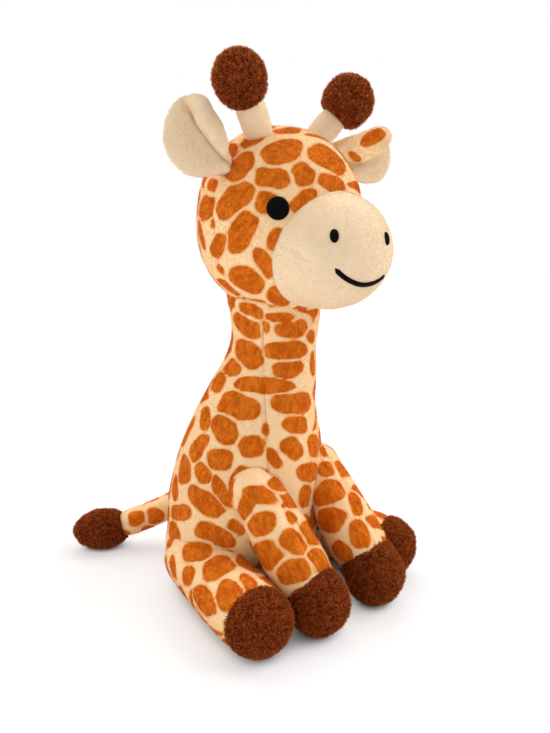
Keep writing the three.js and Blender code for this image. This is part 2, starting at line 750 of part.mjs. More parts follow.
function addHead() {
  const domeTop = NECK_PIVOT.clone().addScaledVector(Z, NECK_DOME_WIDTH);
  const hole = column(NECK_HOLE / 2, NECK_PIVOT, domeTop);
  const hollow = lessAll(headForm(INSIDE, COARSE), headSockets(GAP - INSIDE));
  const skin = lessAll(headForm(0), headSockets(GAP));
  add("head", skin.subtract(hollow).subtract(hole), spotted());
  add("head_stuffing", lessAll(headForm(FILLING, COARSE), headSockets(GAP - FILLING)), fibre);
  const bun = muzzleForm(0).subtract(headForm(GAP)).subtract(neckSocket(GAP));
  add("muzzle", bun.subtract(muzzleForm(INSIDE, COARSE).subtract(neckSocket(GAP - INSIDE))), cream());
  const bunFilling = muzzleForm(FILLING, COARSE).subtract(neckSocket(GAP - FILLING));
  add("muzzle_stuffing", bunFilling.subtract(headForm(GAP)), fibre);
}

// What a straight-sided cutter leaves of a thin layer just above a form
function stitched(cutter, form) {
  return cutter.intersect(form(GAP + THREAD)).subtract(form(GAP));
}

function addSpot(name, place, middle, [width, height], form) {
  const outward = place.clone().sub(middle).normalize();
  const shape = new THREE.CylinderGeometry(width / 2, width / 2, EYE_WIDTH, SPOT_SIDES);
  shape.rotateX(Math.PI / 2).scale(1, height / width, 1);
  const facing = new THREE.Matrix4().lookAt(outward, new THREE.Vector3(), Z);
  shape.applyMatrix4(facing).translate(...place.toArray());
  add(name, stitched(toSolid(shape), form), cloth(COLOURS.thread, 0.4));
}

function addMouth() {
  const radius = (MOUTH_WIDTH ** 2 / 4 + MOUTH_SAG ** 2) / (2 * MOUTH_SAG);
  const half = Math.asin(MOUTH_WIDTH / 2 / radius);
  const down = -Math.PI / 2;
  const middle = HEAD_MIDDLE.z - MOUTH_BELOW_HEAD - MOUTH_SAG + radius;
  const line = new THREE.Shape();
  line.absarc(0, middle, radius + MOUTH_LINE / 2, down - half, down + half, false);
  line.absarc(0, middle, radius - MOUTH_LINE / 2, down + half, down - half, true);
  const shape = new THREE.ExtrudeGeometry(line, {
    depth: MUZZLE_REACH,
    bevelEnabled: false,
    curveSegments: MOUTH_SIDES,
  });
  shape.rotateX(Math.PI / 2).translate(0, MUZZLE_MIDDLE.y - GAP, 0);
  add("mouth", stitched(toSolid(shape), muzzleForm), cloth(COLOURS.thread, 0.4));
}

function addFace() {
  for (const side of Object.keys(SIDES)) {
    addSpot(`eye_${side}`, onSide(EYE_PLACE, side), HEAD_MIDDLE, [EYE_WIDTH, EYE_WIDTH], headForm);
    const nostril = onSide(NOSTRIL_PLACE, side);
    addSpot(`nostril_${side}`, nostril, MUZZLE_MIDDLE, [NOSTRIL_WIDTH, NOSTRIL_HEIGHT], muzzleForm);
  }
  addMouth();
}

addTrunk();
addHead();
addFace();
addHorns();
addEars();
addArms();
addLegs();
addTail();

export default part;
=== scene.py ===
import math
from itertools import product

import bpy
import numpy as np
from mathutils import Matrix, Vector
from mathutils.bvhtree import BVHTree
from mathutils.kdtree import KDTree


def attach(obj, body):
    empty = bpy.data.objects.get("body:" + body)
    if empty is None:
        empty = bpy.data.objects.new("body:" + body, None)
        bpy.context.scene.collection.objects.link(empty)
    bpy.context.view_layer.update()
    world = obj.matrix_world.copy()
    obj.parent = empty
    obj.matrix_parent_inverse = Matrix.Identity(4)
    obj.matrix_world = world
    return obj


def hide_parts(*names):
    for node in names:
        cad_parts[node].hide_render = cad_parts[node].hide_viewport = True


bl_info = {
    "name": "Plush giraffe",
    "version": (1, 0, 0),
    "blender": (4, 5, 0),
    "location": "3D View > Sidebar > Plush giraffe",
    "description": "Dresses the packed frame of a sitting plush giraffe in spotted, cream and brown pile",
    "category": "Object",
}

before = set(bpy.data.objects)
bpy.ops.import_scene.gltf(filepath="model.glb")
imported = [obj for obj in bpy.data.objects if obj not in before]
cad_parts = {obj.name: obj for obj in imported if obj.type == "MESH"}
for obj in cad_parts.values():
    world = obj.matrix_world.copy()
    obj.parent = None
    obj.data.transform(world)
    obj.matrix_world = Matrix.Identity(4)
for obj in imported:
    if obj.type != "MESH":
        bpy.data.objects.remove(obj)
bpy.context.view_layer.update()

MM = 0.001
SIDES = {"left": 1, "right": -1}

# Places that the frame's own source gives, in metres
REST_FLAT = 0.0005
NECK_HEIGHT = 0.171
NECK_FORWARD = 0.0215
HEAD_MIDDLE = np.array((0, -0.026, 0.218))
MUZZLE_MIDDLE = np.array((0, -0.0598, 0.2034))
SHOULDER = np.array((0.0262, -0.032, 0.070))
FRONT_HOOF = np.array((0.0225, -0.0795, 0.0172))
HIP = np.array((0.0416, 0.0092, 0.0183))
HIND_HOOF = np.array((0.058, -0.065, 0.0181))
HORN_FOOT = np.array((0.022, -0.036, 0.260))
KNOB_MIDDLE = np.array((0.0409, -0.0388, 0.2846))
EAR_ROOT = np.array((0.039, -0.0295, 0.243))
EYE_PLACE = np.array((0.0337, -0.0575, 0.2242))
TAIL_ROUTE = np.array((
    (-1, 48, 40),
    (-10, 57, 33),
    (-22, 67, 25),
    (-34, 76, 18.8),
    (-46, 85, 14.4),
    (-58, 94.5, 12.8),
    (-70, 104, 12.4),
)) * MM

# How far each hind leg is tucked in at its hip, and how far each horn starts behind and above its foot
HIP_TUCK = np.array((-0.0018, -0.0018, 0))
HORN_TUCK = np.array((0, 0.004, 0.003))
# How far each hoof lies from its even place, as the toy sits in the picture
HOOF_SHIFTS = {
    "arm_left": (0.0022, 0.0004, 0),
    "arm_right": (0.0014, 0.0037, 0),
    "leg_left": (-0.0015, 0, 0),
    "leg_right": (0.0008, -0.0008, 0),
}

# Spacing of the cloth's grids: finer on slim and brown pieces, coarser where only the form counts
TRUNK_GRID = 0.0011
MUZZLE_GRID = 0.0010
SLIM_GRID = 0.0009
BROWN_GRID = 0.0007
EYE_GRID = 0.0018
MOUTH_GRID = 0.0014
COVER_GRID = 0.002
# How the trunk's rows crowd to its foot, how much wider its neck's rows lie, and the rows of its base
TRUNK_CROWDING = 1.12
DOME_SPREAD = 1.5
BASE_ROWS = 24

# How far the cloth may move as it settles, the grid that it settles on, its inner pressure and its time
CLOTH_MOVE = {"trunk": 0.0014, "head": 0.0012, "muzzle": 0.0010, "leg": 0.0012, "hoof": 0.0008}
SETTLE_GRID = 0.005
HOOF_SETTLE_GRID = 0.004
SETTLE_PRESSURE = 4.0
SETTLE_FRAMES = 20
# How hard the cloth is to stretch or press together, and to bend
CLOTH_STRETCH = 12
CLOTH_BENDING = 0.4
CLOTH_QUALITY = 5
# How many points of the settled grid move each point of the fine one
SETTLE_NEIGHBOURS = 8

# How far the backing lies under the full size: as a share of the brown pile's length, then in metres
PILE_ROOM = 0.55
HEAD_BACKING = 0.0014
MUZZLE_BACKING = 0.0012
# Where the head is stuffed out at its crown and chin, how widely and how far
HEAD_BULGES = (((0, -0.022, 0.267), 0.024, 0.0026), ((0, -0.050, 0.172), 0.020, 0.0028))
# How wide the cloth fills a crease between two pieces, where it is narrow and where it is soft and open
HIP_CREASE = (0.003, 0.010)
NAPE_CREASE = (0.002, 0.012)
# Where the crease opens, out of the hip and backward over the nape. The nape lies this far under the middle
# of the head
HIP_OPENS = (-0.004, 0.018)
NAPE_OPENS = (-0.03, 0.0)
NAPE_DROP = 0.03
# Height and width of the lumps of the stuffing
LUMPS = {
    "trunk": (0.0006, 0.03),
    "head": (0.0005, 0.028),
    "muzzle": (0.0003, 0.024),
    "leg": (0.0004, 0.02),
    "hoof": (0.0004, 0.014),
    "horn": (0.0003, 0.012),
    "tail": (0.0004, 0.013),
    "tuft": (0.0004, 0.012),
}
# Size and height of the finer lumps on them, as shares
FINE_LUMPS = (0.45, 0.5)
# Clumps of the brown pile, and the size and height of its clumps and of the finer ones, as shares
CURL_HEIGHT = 0.00035
CURL_SIZE = 0.0018
CURL_FINE = 0.0008
CURL_WAVES = ((1, 0.6), (0.5, 0.5))

# Depth and width of a seam's groove, then how far and how wide it pulls the cloth round it
SEAM_SHAPES = {
    "crown": (0.0011, 0.0012, 0.0009, 0.0055),
    "jaw": (0.0009, 0.0007, -0.0007, 0.0022),
    "chest": (0.0008, 0.0010, 0.0008, 0.0055),
    "back": (0.0007, 0.0010, 0.0008, 0.0055),
    "arm": (0.0008, 0.0010, 0.0010, 0.0042),
}
SEAM_PUCKER = 0.006
SEAM_STEP = 0.0006
# The seam value in millimetres of cloth far from any seam
NO_SEAM = 9.0
# Folds of the muzzle: marks in the picture, and the shape of a seam
MUZZLE_FOLDS = (
    (((279, 243), (290, 250), (302, 256.5), (311, 262)), (0.00045, 0.0011, 0.000405, 0.005)),
    (((364, 288), (356, 296), (348, 305), (343, 309)), (0.0004, 0.0011, 0.00036, 0.005)),
)
# Depth and width of the dent at a sleeve's hem, then how far it shrinks past it, from where and to where
HEM_SHAPES = {
    "leg": (0.0009, 0.003, 0.006, 0.001, 0.006),
    "stem": (0.0006, 0.0025, 0.005, 0.0005, 0.004),
    "tail": (0.0012, 0.003, 0.003, 0.001, 0.006),
}
# How far a brown piece goes on inside its sleeve, how much narrower it is there, and where its pile begins
HEM_TUCK = 0.0022
HEM_NARROW = {"hoof": 0.0012 / 0.017, "tuft": 0.0008 / 0.017}
HEM_PILE = (-0.0004, 0.002)
HEM_FULL = 0.0008
# Shares of the way to the middle of a hoof and to the tail's end where their hems lie
FRONT_HOOF_SEAM = 0.82
HIND_HOOF_SEAM = 0.97
TUFT_SEAM = 0.65

# Marks in the picture of the nostrils and along the mouth
NOSTRIL_MARKS = {"left": (386.6, 238.5), "right": (334.3, 235.8)}
MOUTH_MARKS = (
    (335, 268.5), (341.5, 275), (350, 280.8), (361, 284.8), (371, 284), (379.5, 279.8), (384.5, 275),
)
# Space between two stitches of the mouth, and how far from its ends it is thinner
STITCH = 0.00055
MOUTH_TAPER = 0.0025
# Space between two threads of an eye or nostril, how deep its rim goes in, from how far it is laid on the
# cloth, and how its threads stretch. No pile grows over an eye: it is cut from the first reach to the second
SATIN = 0.00042
SATIN_ROOT = 0.0006
SATIN_DROP = 0.02
SATIN_STRETCH = 0.3
EYE_TRIM = (0.0045, 0.0065)

# Height, belly share of the width, forward share of the middle
TRUNK_SHARES = (
    (0, 0.56, -0.24),
    (0.016, 0.72, -0.24),
    (0.05, 0.87, -0.25),
    (0.1, 0.96, -0.25),
    (0.18, 1, -0.25),
    (0.26, 0.985, -0.22),
    (0.36, 0.9, -0.16),
    (0.45, 0.8, -0.04),
    (0.53, 0.69, 0.1),
    (0.6, 0.53, 0.21),
    (0.68, 0.36, 0.4),
    (0.75, 0.22, 0.62),
    (0.82, 0.08, 0.83),
    (0.88, 0.005, 0.95),
    (0.93, 0.01, 1),
    (1, 0.045, 1),
)
ARM_SHARES = ((0, 0), (0.3, 0.45), (0.6, 0.9), (1, 1))
LEG_SHARES = ((0, 0), (0.3, 0.8), (0.55, 1), (1, 0.6))
KNOB_SHARES = ((0, 0.02), (0.1, 0.3), (0.3, 0.62), (0.6, 0.9), (1, 1))
TAIL_SHARES = ((0, 0), (0.25, 0.6), (0.6, 1), (1, 1))
TUFT_SHARES = ((0.5, 0.7), (0.62, 0.76), (0.72, 0.96), (0.82, 1), (0.92, 0.78), (1, 0.5))
# 2 is a round end, more is a blunter one
HEAD_POWER = 2.25
MUZZLE_POWER = 2.15
HOOF_POWER = 2.06
KNOB_FULLNESS = {"left": 1.04, "right": 0.94}
KNOB_HEM_TILT = {"left": 0.34, "right": 0.08}
# Share of the length, then shares of the half width below and above the fold
EAR_SHARES = {
    "left": (
        (0, 0.4, 0.35),
        (0.12, 0.8, 0.72),
        (0.25, 1.16, 0.96),
        (0.4, 1.38, 1.04),
        (0.55, 1.42, 1.0),
        (0.7, 1.28, 0.94),
        (0.82, 1.04, 0.88),
        (0.92, 0.74, 0.72),
        (0.97, 0.46, 0.54),
        (1, 0.16, 0.2),
    ),
    "right": (
        (0, 0.2, 0.1),
        (0.05, 0.36, 0.14),
        (0.12, 0.68, 0.28),
        (0.26, 1.08, 0.58),
        (0.37, 1.22, 0.7),
        (0.5, 1.28, 0.8),
        (0.65, 1.22, 0.81),
        (0.79, 1.03, 0.73),
        (0.91, 0.66, 0.52),
        (0.97, 0.34, 0.28),
        (1, 0.1, 0.1),
    ),
}
# How each ear lies: how much longer it is, where it starts inside the head as a share of its length, and in
# degrees how far it lifts, faces in, cups, folds over and turns back. Then how much of the fold is left at
# the tip, how high the fold lies above the root, and how wide it bends, as shares of the half width
EARS = {
    "left": {
        "longer": 1.2, "start": -0.07, "lift": 19, "inward": 8, "cup": 60,
        "fold": 145, "turn_back": 0, "fold_end": 0.85, "rise": 0.69, "bend": 0.4,
    },
    "right": {
        "longer": 1.0, "start": 0.0, "lift": 50, "inward": -24, "cup": 35,
        "fold": 112, "turn_back": 108, "fold_end": 0.15, "rise": 0, "bend": 0.24,
    },
}
EAR_TURN_BACK_SPAN = (0.2, 0.62)
EAR_TIP_SPAN = (0.62, 1)
EAR_THINNING_SPAN = (0.8, 1.02)
# How the rows crowd to the tip, how late the cup curls, and how finely the curl is worked out
EAR_CROWDING = 1.3
EAR_CUP_POWER = 1.3
EAR_STEPS = 241
# What is left of the thickness at the tip, how much the rim takes and how suddenly, and how much of the back
EAR_TIP_THICKNESS = 0.06
EAR_RIM = (0.97, 3.2)
EAR_BACK_RIM = 0.75
# How much a fold thins the layer inside it, and its middle and width as shares of the bend
EAR_PINCH = (0.6, 0.5, 0.7)
# How far behind its middle sheet an ear's back starts and ends, and how far before it the lining does
EAR_BACK = (-0.0038, -0.00015)
EAR_LINING = (0.00015, 0.0032)

# The camera, from the places of the knobs, nostrils, hooves and legs in the picture
PICTURE = (550, 733)
FOCAL_PIXELS = 640
CAMERA_PLACE = np.array((-0.25746, -0.28147, 0.21329))
CAMERA_VIEW = np.array((0.6885, 0.6950, -0.2072))
CAMERA_RIGHT = np.array((0.7104, -0.7038, 0.0))
CAMERA_UP = np.array((0.1458, 0.1472, 0.9783))
SENSOR = 36
# The floor as the camera sees it: its colour in the light, and how far its shadows are lifted
FLOOR_SEEN = "AEAEAE"
FLOOR_LIFT = 0.52
# How far round the toy's contacts the floor's lift fades, which paints shade into the corners
FLOOR_CORNER_SHADE = 0.035

# Patches of the cloth as they lie in the picture: middle across and down, half length, half width,
# and the degrees that the length turns up from level
HEAD_PATCHES = (
    (239, 166, 17.5, 10, 50),
    (282.5, 150, 20.5, 11.5, 14),
    (329, 157.5, 21, 10, -33),
    (272.8, 177.5, 18.5, 11, -8),
    (304, 174, 12.5, 10.8, -50),
    (333, 183, 15, 8, -30),
    (359, 187, 9, 6.5, -55),
    (233, 200, 23, 12, 42),
    (266, 202, 12.5, 11.5, 80),
    (303.5, 201, 16, 9.5, 48),
    (240.3, 233, 23.5, 12, 64),
    (275.5, 239, 12, 7.5, 62),
    (217, 246, 12.5, 7.5, 70),
    (264, 264.5, 16.8, 8.2, -62),
    (245.8, 281, 19.5, 11.5, -28),
    (279.6, 298, 12.5, 9.5, -25),
    (250, 302.7, 15, 4.5, -12),
    (204.5, 208, 13, 6.5, 75),
    (211.5, 184.5, 6.5, 4.5, 70),
    (201, 234, 15, 3, -80),
    (211.5, 223.5, 5, 2.2, 90),
    (219.7, 271, 5.5, 3, -55),
    (250.6, 140, 13, 5, 24),
    (288, 129.5, 14, 4.5, 0),
    (321.5, 136.2, 16, 2.0, -22),
    (230.7, 150, 9, 6.5, 55),
    (228, 289, 15, 3, -38),
)
TRUNK_PATCHES = (
    (246, 326, 17, 9, -36),
    (251, 311, 14, 6.5, -25),
    (281, 318, 15, 5, -5),
    (293, 329, 16, 9, 8),
    (264, 328, 7, 5, 90),
    (248, 354, 17.5, 11.5, -42),
    (287, 350.7, 23, 9.5, 3),
    (289.5, 369.7, 15.5, 8.5, 8),
    (231, 368, 9, 8, 45),
    (218, 382, 11, 5.5, 65),
    (263.5, 385.5, 30, 8, -3),
    (237.3, 406.5, 20.5, 13.5, -15),
    (294.4, 403.5, 19, 11, 5),
    (296, 424.6, 12.5, 9, -5),
    (224.7, 429, 16.5, 12, -70),
    (265.7, 429.7, 7, 4.3, 90),
    (205, 418, 12, 5, 85),
    (198, 448, 15, 6.5, 62),
    (251.3, 446, 13.5, 11, 12),
    (292.3, 448.7, 13, 9.5, -50),
    (314.6, 446, 11.5, 5.5, 90),
    (219.6, 459.6, 13, 10.5, -10),
    (273.6, 458.5, 11, 6, -60),
    (184, 469.7, 14.5, 5.8, 85),
    (202.4, 473.5, 11.5, 7.5, -65),
    (240, 479.4, 14.5, 9.5, 60),
    (222, 492.5, 17.5, 7.5, -62),
    (204.4, 502, 21.5, 10.5, -35),
    (179, 512.8, 9.5, 8.5, 0),
    (173, 532, 11, 5.5, -85),
    (213.8, 535.6, 22, 10, -18),
    (236, 528, 10, 7, -40),
    (196.8, 550.8, 15, 9.5, 5),
    (175, 487.5, 13, 3.5, 90),
    (188, 432, 17, 4, 65),
    (309.5, 472, 11, 9.5, 20),
    (305, 496, 12, 5.5, 85),
    (311, 336.7, 6.5, 4, 90),
    (312.6, 363, 12, 2.8, 90),
    (317, 416, 14, 2.5, 88),
)
ARM_PATCHES = {
    "right": (
        ((263, 495, 22, 9.5, -4), (245, 507, 14, 8, 70)),
        (259.4, 524.7, 14.5, 11.5, 30),
        (264.7, 555.4, 16, 11.5, -45),
        (294.4, 542, 15.5, 12, -25),
        (294.3, 571, 20, 12.5, 15),
        (299.4, 594.4, 11, 5, 15),
        (282.4, 474.8, 13, 7.5, -55),
        (289.5, 497, 13, 8, -55),
        (291.3, 515, 8.5, 4.5, -65),
        (311, 533, 14, 6, -62),
        (321, 558.4, 14.5, 8, -50),
    ),
    "left": (
        (327.3, 468.5, 8.5, 7.5, 0),
        (328.6, 493, 17, 12, 28),
        (329.3, 519.7, 13.5, 13, -20),
        (356.4, 502.7, 13, 6, -70),
        (360, 533.6, 15.5, 10.5, -75),
        (340.7, 551.6, 11.5, 7.5, -50),
        (377, 522.5, 10, 5.5, -40),
        (342.5, 468.5, 10, 4.5, -45),
        (361.5, 487.5, 9, 3.5, -50),
        (326, 450, 6, 4, -45),
    ),
}
LEG_PATCHES = {
    "right": (
        (217.6, 566, 16.5, 11, 27),
        (187.4, 576, 9.8, 6, 75),
        (247.5, 563.5, 14, 6.5, -35),
        (248, 581.7, 9.5, 6.5, -40),
        (227.7, 594.6, 15.5, 12, 75),
        (204, 601, 17, 8.5, -62),
        (193, 605, 14, 2.5, -62),
        (196.8, 550.8, 15, 9.5, 5),
        (214.5, 632, 8, 3, -42),
        (172.7, 568, 12, 3, -80),
    ),
    "left": (),
}
TAIL_PATCHES = (
    (155, 517, 8.5, 8, 0),
    (137.3, 519.5, 8.8, 8, 0),
    (126.5, 534, 4.5, 3, 0),
    (148.5, 530.5, 7, 3, 15),
)
PATCH_GAP = 0.0020
# A patch whose middle lies this far from a seam stops at the seam, this far short of it
PANEL_OWN = 0.0025
PANEL_EDGE = 0.0002
EAR_PATCHES = {
    "left": ((372.5, 137.5, 13, 6.5, 35), (355, 156.7, 7, 4, -45)),
    "right": (),
}

# Seams, in metres on or near the cloth
CROWN_SEAM = np.array((
    (-38, -21.8, 247), (-32.9, -26, 253.4), (-19.4, -31.7, 262.3), (-3.1, -32.2, 266.9),
    (3.1, -32.2, 266.9), (19.4, -31.7, 262.3), (32.9, -26, 253.4), (38, -21.8, 247),
)) * MM
SIDE_SEAM = np.array((
    (-42.4, -21.3, 239.5), (-46, -20.6, 228.6), (-47.1, -20.9, 221), (-47.2, -22.3, 214),
    (-45.2, -21.1, 204), (-41, -20, 194), (-36, -20.5, 187), (-29, -24, 179), (-23, -29.7, 175.4),
)) * MM
# Marks in the picture along the seams of the front legs
ARM_SEAMS = {
    "right": ((272, 472), (280, 485), (288, 503), (303, 532), (325, 570)),
    "left": ((330, 456), (341, 474), (358, 503), (380, 537)),
}
JAW_SEAM = ((203, 254), (213, 274), (226, 289), (243, 299), (262, 304.5))
# Height and degrees from the front of the chest seam
CHEST_SEAM = (
    (0.171, 60), (0.150, 59), (0.136, 50), (0.122, 41), (0.099, 33), (0.082, 30), (0.06, 28), (0.03, 26),
    (0.004, 25),
)
# Heights between which the back seam runs, and its number of knots
BACK_SEAM = (0.168, 0.004, 14)

# Scattered patches: their spacing, the cloth between them, and how far inside its edge each at least reaches
PATCH_SPACING = {"trunk": 0.0165, "ear": 0.014, "tail": 0.013}
PATCH_APART = 0.0042
SLIVER = 0.0019
# How many places are tried, and as shares of the spacing: the least and most room that a patch takes, its
# greatest half width, how far it stays from a drawn one, and how wide and how far its rim is warped
PATCH_TRIES = 6000
PATCH_ROOM = (0.78, 1.16)
PATCH_HALF = 0.62
PATCH_CLEAR = 0.45
PATCH_WARP_SIZE = 0.7
PATCH_WARP = 0.2
# The most that a drawn patch is stretched where the cloth turns away, how far round it the cloth is looked at
# as a share of its half length, and how much that cloth has to face its way
PATCH_STRETCH = 2.4
PATCH_FIELD = 2.6
PATCH_FACING = 0.05
# How often the edge of what other pieces hide is evened out
SIGHT_ROUNDS = 8
# How squarely the camera sees the cloth where the scattered patches begin, how far they may reach into
# what it sees, and how much patch that gives
PATCH_VIEW = 0.16
EAR_PATCH_VIEW = -0.25
PATCH_OVERLAP = 0.35
PATCH_OVERLAP_GAIN = 0.02
# A drawn patch is a little squarer than an ellipse, and its rim waves: waves round it, and their share
PATCH_POWER = 2.6
PATCH_WAVES = ((2, 0.02), (3, 0.035), (5, 0.02))
# How unevenly a patch is printed: a seed's step, the size of the waves in its rim, and their height in mm
PATCH_WOBBLE = ((11, 0.007, 0.6), (12, 0.003, 0.25))
# The most that the cloth stores of how far a point lies inside or outside a patch, in millimetres
PATCH_REACH = 12

# Each pile: hairs to a square millimetre, how much they lean in clumps, and half their thickness in mm
PILES = {
    "spotted": (3.4, 0.0, 0.055),
    "cream": (4, 0.0, 0.055),
    "brown": (4.5, 0.6, 0.13),
}
# Least and most length of a hair as a share, how far it lies along the pile, how much it strays by itself,
# and how far it leans with its clump
HAIR_LENGTHS = (0.55, 1.15)
HAIR_LIE = 0.55
HAIR_STRAY = 0.33
HAIR_CLUMP = 1.9
# How deep a hair is rooted, how it tapers, and how the curl's tone rises from its root to its tip: painted
# shade at the root, a painted highlight at the tip
HAIR_ROOT = 0.0001
HAIR_TAPER = (1.0, 0.85, 0.25)
HAIR_SHADE_TO_HIGHLIGHT = (-1.5, -0.1, 1.3)
# What parted pile and a seam leave of the cloth's red, green and blue
STREAKED = (0.78, 0.68, 0.54, 1)
SEWN = (0.66, 0.5, 0.38, 1)

# The lamps: where each shines from, how bright it makes white cloth that faces it, and its spread in degrees
LAMPS = {
    "key_lamp": ((0.56, -0.46, 0.69), 0.68, 45),
    "top_lamp": ((0.25, 0.45, 0.85), 0.60, 60),
    "side_lamp": ((-0.85, 0.30, 0.42), 0.34, 60),
}
ROOM_LIGHT = 0.41
FLOOR_REACH = 3.0
FLOOR_DROP = 0.0002


def shade(code):
    """A colour as the shaders take it, from its usual six digits."""
    parts = [int(code[i:i + 2], 16) / 255 for i in (0, 2, 4)]
    return [p / 12.92 if p <= 0.04045 else ((p + 0.055) / 1.055) ** 2.4 for p in parts] + [1.0]


def length_value(name, description, default):
    return bpy.props.FloatProperty(
        name=name, description=description, default=default, min=0.0, unit="LENGTH", precision=4)


def colour_value(name, description, code):
    return bpy.props.FloatVectorProperty(
        name=name, description=description, default=shade(code), size=4, min=0.0, max=1.0, subtype="COLOR")


class GiraffeSizes(bpy.types.PropertyGroup):
    """Sizes of the sewn and stuffed pieces"""

    belly_width: length_value("Belly width", "Trunk from side to side", 0.099)
    belly_depth: length_value("Belly depth", "Trunk from front to back", 0.100)
    neck_width: length_value("Neck width", "Neck at its slimmest", 0.0486)
    neck_dome: length_value("Neck top width", "Round top that the head sits on", 0.0512)
    head_width: length_value("Head width", "Head from side to side", 0.095)
    head_depth: length_value("Head depth", "Head from front to back", 0.091)
    head_height: length_value("Head height", "Head from chin to crown", 0.098)
    muzzle_width: length_value("Muzzle width", "Muzzle from side to side", 0.0685)
    muzzle_height: length_value("Muzzle height", "Muzzle from top to chin", 0.0626)
    muzzle_reach: length_value("Muzzle reach", "Muzzle from its middle to its front", 0.034)
    shoulder_width: length_value("Shoulder width", "Round root of a front leg", 0.029)
    arm_width: length_value("Front leg width", "Front leg at its fullest", 0.0334)
    front_hoof_width: length_value("Front hoof width", "Hoof of a front leg", 0.0354)
    hip_width: length_value("Hip width", "Round root of a hind leg", 0.036)
    leg_width: length_value("Hind leg width", "Hind leg at its fullest", 0.039)
    leg_height: length_value("Hind leg height", "Hind leg from the floor to its top", 0.037)
    hind_hoof_width: length_value("Hind hoof width", "Hoof of a hind leg", 0.0372)
    stem_foot_width: length_value("Horn foot width", "Horn stem where it leaves the head", 0.0144)
    stem_width: length_value("Horn stem width", "Horn stem at its knob", 0.0156)
    knob_width: length_value("Knob width", "Knob of a horn", 0.0276)
    knob_neck: length_value("Knob neck", "From the knob's hem to its middle", 0.0134)
    ear_length: length_value("Ear length", "Ear from root to tip", 0.0405)
    ear_width: length_value("Ear width", "Ear laid flat", 0.036)
    tail_root_width: length_value("Tail root width", "Tail where it leaves the trunk", 0.0148)
    tail_width: length_value("Tail width", "Tail before its tuft", 0.0172)
    tuft_width: length_value("Tuft width", "Tuft at its fullest", 0.0264)
    eye_width: length_value("Eye width", "Embroidered eye", 0.0111)
    nostril_width: length_value("Nostril width", "Embroidered nostril from side to side", 0.0044)
    nostril_height: length_value("Nostril height", "Embroidered nostril from top to bottom", 0.0066)
    mouth_line: length_value("Mouth line", "Width of the mouth's stitched line", 0.0025)
    thread: length_value("Thread height", "Embroidery above the cloth", 0.0009)
    pile: length_value("Pile length", "Length of the short pile", 0.0008)
    brown_length: length_value("Brown pile length", "Length of the curled brown pile", 0.0018)
    cream_length: length_value("Cream pile length", "Length of the cream pile", 0.0005)
    lining_length: length_value("Lining pile length", "Length of the pile inside the ears", 0.0006)


class GiraffeColours(bpy.types.PropertyGroup):
    """Colours of the cloth and thread"""

    ground: colour_value("Ground", "Cloth between the patches", "FFE2B6")
    ground_tint: colour_value("Ground tint", "Ground close to a patch", "F6BE80")
    patch_edge: colour_value("Patch edge", "Patch towards its rim", "EA8626")
    patch_middle: colour_value("Patch middle", "Patch at its middle", "CA600A")
    cream: colour_value("Cream", "Muzzle, horn stems and ear linings", "F2DEC0")
    cream_shade: colour_value("Cream shade", "Parted pile of the cream cloth", "E8CDA8")
    # The brown pile's tips carry a painted highlight that stands in for light on its rim
    brown_lit_tip: colour_value("Brown tips", "Tips of the long brown pile", "DC7636")
    brown_glow: colour_value("Brown glow", "Light through the tips of the long brown pile", "FFA058")
    # Painted shade at the roots of the brown pile and in the gaps between its clumps
    brown_shaded_depth: colour_value("Brown depth", "Gaps between the long brown pile", "641E08")
    thread: colour_value("Thread", "Eyes, nostrils and mouth", "050404")
    thread_light: colour_value("Thread light", "Thread where it catches the light", "0A0808")
    floor: colour_value("Floor", "Floor under the toy", "EAEAEA")


def sizes():
    return bpy.context.scene.giraffe_sizes


def colours():
    return bpy.context.scene.giraffe_colours


def on_side(place, side):
    return np.asarray(place, float) * (SIDES[side], 1, 1)


def unit(vectors):
    return vectors / np.maximum(np.linalg.norm(vectors, axis=-1, keepdims=True), 1e-12)


def smooth_step(values, low, high):
    t = np.clip((values - low) / (high - low), 0, 1)
    return t * t * (3 - 2 * t)


def read_shares(rows, at):
    """Smooth values of the later columns of a table, at places of its first column."""
    rows = np.array(rows, float)
    last = len(rows) - 1
    at = np.atleast_1d(np.asarray(at, float))
    order = np.arange(len(rows))
    before, after = rows[np.maximum(order - 1, 0)], rows[np.minimum(order + 1, last)]
    slopes = (after - before) / (after[:, :1] - before[:, :1])
    i = np.clip(np.searchsorted(rows[:, 0], at, side="right") - 1, 0, last - 1)
    span = (rows[i + 1, 0] - rows[i, 0])[:, None]
    t = np.clip((at[:, None] - rows[i, :1]) / span, 0, 1)
    rise = slopes[i] * span * t * (1 - t) ** 2 - slopes[i + 1] * span * t * t * (1 - t)
    return (rows[i] + (rows[i + 1] - rows[i]) * t * t * (3 - 2 * t) + rise)[:, 1:]


def cloud(points, size, seed):
    """Smooth noise from -1 to 1 at these points, with lumps of this size."""
    table = np.random.default_rng(seed).uniform(-1, 1, 4096)
    place = np.asarray(points, float) / size
    cell = np.floor(place).astype(np.int64)
    part = place - cell
    part = part ** 3 * (part * (part * 6 - 15) + 10)
    total = np.zeros(len(place))
    for corner in product((0, 1), repeat=3):
        at = cell + np.array(corner)
        key = (at[:, 0] * 73856093 ^ at[:, 1] * 19349663 ^ at[:, 2] * 83492791) & 4095
        weight = np.where(corner, part, 1 - part).prod(axis=1)
        total += table[key] * weight
    return total


def placed(name, data):
    """A new object in the scene."""
    thing = bpy.data.objects.new(name, data)
    bpy.context.scene.collection.objects.link(thing)
    return thing


def store(attributes, key, domain, values):
    """Keeps a number or three for each point or hair of a piece."""
    kind, field = ("FLOAT_VECTOR", "vector") if values.ndim == 2 else ("FLOAT", "value")
    attributes.new(key, kind, domain).data.foreach_set(field, values.astype(np.float32).ravel())


def distances(points, others, block=4000):
    """Distances from points to other places, a block of points at a time."""
    for start in range(0, len(points), block):
        part = slice(start, start + block)
        yield part, np.linalg.norm(points[part, None] - others[None], axis=2)


